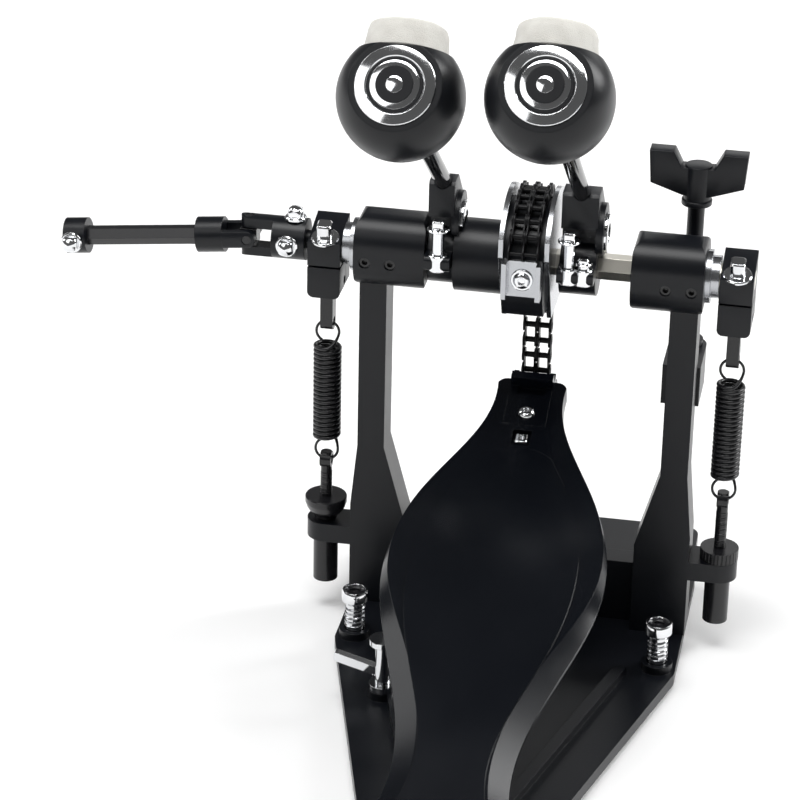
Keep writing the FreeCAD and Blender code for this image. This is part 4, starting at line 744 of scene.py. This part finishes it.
# %% A tree that sweeps a wire
def wire_tree():
    tree = bpy.data.node_groups.new("wire_on_path", "GeometryNodeTree")
    for label, kind in (("Path", "Geometry"), ("Wire Radius", "Float"), ("Sides", "Int"), ("Finish", "Material")):
        tree.interface.new_socket(label, in_out="INPUT", socket_type="NodeSocket" + kind)
    tree.interface.new_socket("Wire", in_out="OUTPUT", socket_type="NodeSocketGeometry")
    nodes, links = tree.nodes, tree.links
    given, made = nodes.new("NodeGroupInput"), nodes.new("NodeGroupOutput")
    path = nodes.new("GeometryNodeMeshToCurve")
    thick = nodes.new("GeometryNodeInputNamedAttribute")
    thick.data_type = "FLOAT"
    thick.inputs["Name"].default_value = "thick"
    ring, sweep, real, paint = (nodes.new("GeometryNode" + kind) for kind in
                                ("CurvePrimitiveCircle", "CurveToMesh", "RealizeInstances", "SetMaterial"))
    sweep.inputs["Fill Caps"].default_value = True
    links.new(given.outputs["Path"], path.inputs["Mesh"])
    links.new(given.outputs["Wire Radius"], ring.inputs["Radius"])
    links.new(given.outputs["Sides"], ring.inputs["Resolution"])
    links.new(path.outputs["Curve"], sweep.inputs["Curve"])
    links.new(thick.outputs["Attribute"], sweep.inputs["Scale"])
    links.new(ring.outputs["Curve"], sweep.inputs["Profile Curve"])
    links.new(sweep.outputs["Mesh"], real.inputs["Geometry"])
    links.new(real.outputs["Geometry"], paint.inputs["Geometry"])
    links.new(given.outputs["Finish"], paint.inputs["Material"])
    links.new(paint.outputs["Geometry"], made.inputs["Wire"])
    return tree


def path_mesh(points, thick, place):
    mesh = bpy.data.meshes.new("path")
    mesh.from_pydata([p * MM + place for p in points], [(k, k + 1) for k in range(len(points) - 1)], [])
    mesh.attributes.new("thick", "FLOAT", "POINT").data.foreach_set("value", thick)
    return mesh


spring_wire = wire_tree()
print("tree:", spring_wire.name)

# %% [markdown]
# The two springs are each one steel wire: a close coil whose ends rise into rings.
# A Spiral node gives a coil but not its hooks, so the path is worked out point by point: lower ring, 20 and a
# half turns, upper ring. As the beater turns, the top ring goes with its link and the lower ring stays on the
# tension rod; the mesh here is attached to neither body.

# %% Wound springs
WIRE_R, HOOK_SHARE, COIL_R, COIL_TURNS, COIL_LONG = 1.1, 0.6, 5.8, 20.5, 48.5
RING_R, RING_RISE, RING_PULL = 5.5, 7.0, 9.0
TURN_STEPS, RISE_STEPS, THIN_STEPS = 20, 12, 8


def ring_end():
    start, right = Vector((0, -COIL_R, COIL_LONG / 2)), Vector((RING_R, 0, COIL_LONG / 2 + RING_RISE))
    points = []
    for k in range(1, RISE_STEPS):
        t = k / RISE_STEPS
        pull = RING_PULL * ((t ** 3 - 2 * t ** 2 + t) * Vector((1, 0, 0)) + (t ** 3 - t ** 2) * Vector((0, 0, 1)))
        points.append(start * (2 * t ** 3 - 3 * t ** 2 + 1) + right * (3 * t ** 2 - 2 * t ** 3) + pull)
    for degrees in range(0, 241, 12):
        angle = math.radians(degrees)
        points.append(Vector((RING_R * math.cos(angle), 0, right.z + RING_R * math.sin(angle))))
    return points


def spring_points():
    steps = int(COIL_TURNS * TURN_STEPS)
    coil = []
    for k in range(steps + 1):
        angle = math.pi / 2 + 2 * math.pi * k / TURN_STEPS
        coil.append(Vector((COIL_R * math.cos(angle), COIL_R * math.sin(angle), COIL_LONG * (k / steps - 0.5))))
    upper = ring_end()
    lower = [Vector((p.x, -p.y, -p.z)) for p in reversed(upper)]
    thick = [max(HOOK_SHARE, 1 - (1 - HOOK_SHARE) * k / THIN_STEPS) for k in range(len(upper))]
    return lower + coil + upper, thick[::-1] + [1.0] * len(coil) + thick


for side_name in ("left", "right"):
    node = side_name + "_spring"
    low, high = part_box(node)
    mesh = run_tree(spring_wire, path_mesh(*spring_points(), (low + high) / 2),
                    {"Wire Radius": WIRE_R * MM, "Sides": 10, "Finish": blacked_steel})
    piece = new_piece(side_name + "_wound_spring", shade(mesh, 60), blacked_steel, None)
    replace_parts(piece, node)
    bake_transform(piece)
print("spring wire:", len(spring_points()[0]), "points each")

# %% [markdown]
# Threads show on the spur screws and the tension rods.
# A bump map would do from afar, but the ridges show in the outline. A thread is a ridge that follows a helix, so
# the wire tree makes it too, with five sides, laid round the rod where it is bare. The spurs are stacks, and a dark
# dish with a square socket lies in each head.

# %% Spur screws and threads
THREAD_STEPS = 24


def thread(name, centre, radius, low, high, pitch, ridge, paint, body):
    turns = (high - low) / pitch
    count = int(turns * THREAD_STEPS)
    points = []
    for k in range(count + 1):
        angle = 2 * math.pi * k / THREAD_STEPS
        points.append(Vector((radius * math.cos(angle), radius * math.sin(angle), low + (high - low) * k / count)))
    mesh = run_tree(spring_wire, path_mesh(points, [1.0] * len(points), Vector((centre.x, centre.y, 0))),
                    {"Wire Radius": ridge * MM, "Sides": 5, "Finish": paint})
    return new_piece(name, shade(mesh, 50), paint, body)


SPUR_R = 4.4
SPUR_ROWS = [(0.6, 1.0, 0), (SPUR_R, 5.8, 0), (SPUR_R, 26.6, 0), (4.0, 27.0, 0), (4.0, 28.0, 0), (5.9, 28.0, 0),
             (6.4, 28.6, 0), (6.4, 33.2, 0), (5.9, 34.0, 0), (4.9, 34.0, 0), (4.7, 33.6, 0), (4.7, 32.2, 0),
             (2.6, 32.2, 0), (2.6, 30.0, 1), (0.01, 30.0, 0)]
NUT_TOPS = {"left": 60.8, "right": 54.8}
DISH_ROWS = [(4.65, 32.2, 0), (4.65, 32.9, 0), (2.7, 32.9, 0), (2.5, 30.6, 1), (0.01, 30.6, 0)]
for side_name, nut_top in NUT_TOPS.items():
    body = side_name + "_spur"
    spur = middle(side_name + "_spur_screw")
    turned = placed(stack("spur", SPUR_ROWS, 48), Vector((spur.x, spur.y, 0)), upward)
    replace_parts(new_piece(side_name + "_turned_spur", turned, chrome, body), side_name + "_spur_screw")
    dish = placed(stack("dish", DISH_ROWS, 48), Vector((spur.x, spur.y, 0)), upward)
    new_piece(side_name + "_spur_dish", dish, blacked_steel, body)
    thread(side_name + "_spur_thread", spur, radius=SPUR_R, low=13.4, high=26.0, pitch=2.3, ridge=0.6,
           paint=satin, body=body)
    place = middle(side_name + "_spring")
    thread(side_name + "_tension_thread", place, radius=2.6, low=nut_top + 0.6, high=74.0, pitch=1.25, ridge=0.35,
           paint=blacked_steel, body="frame")
print("spur screws: 2, threads: 4")

# %% [markdown]
# Each beater head is a moulded ball with a bright end cap and a felt pad that meets the drum.
# The cap is turned metal with dark inlays. A picture could stand for its rings, but they are steps that catch the
# light, so each is a stack of its own.

# %% Beater caps
ROD_FOOT, CAP_SEAT = 33.0, 18.8
# Each beater: lean and splay in degrees, reach along its rod and x in millimetres.
LEANS = {"left": (55.0, 0.6, 161.0, -41.2), "right": (54.0, 0.0, 168.0, 23.0)}
CAP_ROWS = [(16.9, 0, 0), (16.9, 0.6, 0), (16.6, 0.9, 0), (15.2, 1.12, 0), (13.8, 1.3, 0), (12.5, 1.42, 0),
            (12.2, 1.2, 0), (12.0, 1.0, 0), (0.01, 1.0, 0)]
CAP_STEPS = (("outer_inlay", "ball", [(11.9, 1.0, 0), (11.9, 1.2, 0), (0.01, 1.2, 0)]),
             ("ring", "chrome", [(10.4, 1.2, 0), (10.4, 1.5, 0), (10.1, 1.62, 0), (9.0, 1.72, 0), (8.1, 1.78, 0),
                                 (0.01, 1.78, 0)]),
             ("inner_inlay", "ball", [(7.9, 1.78, 0), (7.9, 1.88, 0), (0.01, 1.88, 0)]),
             ("button", "chrome", [(3.6, 1.88, 0), (3.6, 2.1, 0), (3.0, 2.28, 0), (1.6, 2.38, 0), (0.01, 2.4, 0)]))


def beater_frame(side_name):
    lean, splay, reach, x = LEANS[side_name]
    lean, splay = math.radians(lean), math.radians(splay)
    rod = Vector((math.sin(splay), -math.sin(lean) * math.cos(splay), math.cos(lean) * math.cos(splay)))
    strike = Vector((0, math.cos(lean), math.sin(lean)))
    return Vector((x * MM, 0, axle.z + ROD_FOOT * MM)) + rod * reach * MM, rod, strike


for side_name in LEANS:
    ball, rod, strike = beater_frame(side_name)
    cap_seat = ball + rod * CAP_SEAT * MM
    cap = new_piece(side_name + "_beater_cap", placed(stack("cap", CAP_ROWS, 72), cap_seat, rod),
                    chrome, side_name + "_beater")
    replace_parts(cap, side_name + "_beater_badge")
    for name, slot, rows in CAP_STEPS:
        new_piece(side_name + "_cap_" + name, placed(stack(name, rows, 64), cap_seat, rod),
                  FINISH_OF_SLOT[slot], side_name + "_beater")
print("beater caps: 2")

# %% [markdown]
# The pads are felt pressed from pale wool: without shine, darker between the tufts.
# Hair strands would show single fibres, but from here only the skin is seen. So the material has the grain group
# and a sheen, which lifts the edges as loose fibres do.

# %% Felt
felt, felt_nodes, felt_links = plain_material("pressed_felt")
felt_shader = felt_nodes["Principled BSDF"]
for label, value in (("Sheen Weight", 0.35), ("Sheen Roughness", 0.6), ("Specular IOR Level", 0.15)):
    felt_shader.inputs[label].default_value = value
felt_skin = felt_nodes.new("ShaderNodeGroup")
felt_skin.node_tree = grain_group
for label, value in (("Grain per Metre", 2600.0), ("Drift per Metre", 160.0), ("Smooth", 0.86), ("Rough", 1.0)):
    felt_skin.inputs[label].default_value = value
felt_tint = felt_nodes.new("ShaderNodeMix")
felt_tint.data_type = "RGBA"
felt_tint.inputs["A"].default_value = (0.62, 0.60, 0.55, 1)
felt_tint.inputs["B"].default_value = (0.86, 0.85, 0.80, 1)
felt_bump = felt_nodes.new("ShaderNodeBump")
felt_bump.inputs["Distance"].default_value = 0.0003
felt_links.new(felt_skin.outputs["Tone"], felt_tint.inputs["Factor"])
felt_links.new(felt_tint.outputs["Result"], felt_shader.inputs["Base Color"])
felt_links.new(felt_skin.outputs["Roughness"], felt_shader.inputs["Roughness"])
felt_links.new(felt_skin.outputs["Height"], felt_bump.inputs["Height"])
felt_links.new(felt_bump.outputs["Normal"], felt_shader.inputs["Normal"])
print("felt:", felt.name)

# %% [markdown]
# A pad is a thick felt disc, crowned in front and a little uneven from pressing and use.
# It could be sculpted, but a stack with finer rows keeps its size known, and a noise moves its skin in and out.

# %% Felt pads
PAD_R, PAD_TAPER, PAD_SEAT, PAD_T, PAD_ROUND, PAD_CROWN, PAD_FOOT = 16.4, 1.6, 17.6, 13.2, 2.0, 0.8, 0.7
PAD_LEVELS, PAD_INSETS = (0.8, 2.5, 4.5, 6.5, 8.0, 9.5), (3, 6, 9, 12, 14.3)
LUMPS_PER_METRE, LUMP_SHIFT, LUMP_DEEP = 180, 100, 0.35


def pad_rows():
    rim, crown_r = PAD_T - PAD_CROWN, PAD_R - PAD_ROUND
    rows = [(PAD_R + PAD_TAPER - PAD_FOOT, 0, 0)]
    rows += [(PAD_R + PAD_TAPER * (1 - level / PAD_T), level, 0) for level in PAD_LEVELS]
    for degrees in range(0, 91, 15):
        angle = math.radians(degrees)
        rows.append((PAD_R - PAD_ROUND * (1 - math.cos(angle)), rim - PAD_ROUND * (1 - math.sin(angle)), 0))
    return rows + [(crown_r - inset, rim + PAD_CROWN * inset / crown_r, 0) for inset in PAD_INSETS]


for side_name in LEANS:
    ball, rod, strike = beater_frame(side_name)
    mesh = stack("pad", pad_rows(), 64)
    for spot in mesh.vertices:
        lump = noise.noise(spot.co * LUMPS_PER_METRE + Vector((0, 0, ball.x * LUMP_SHIFT)))
        spot.co += spot.normal * lump * LUMP_DEEP * MM
    pad = new_piece(side_name + "_felt_pad", placed(mesh, ball + strike * PAD_SEAT * MM, strike), felt,
                    side_name + "_beater")
    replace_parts(pad, side_name + "_beater_pad")
print("felt pads: 2")
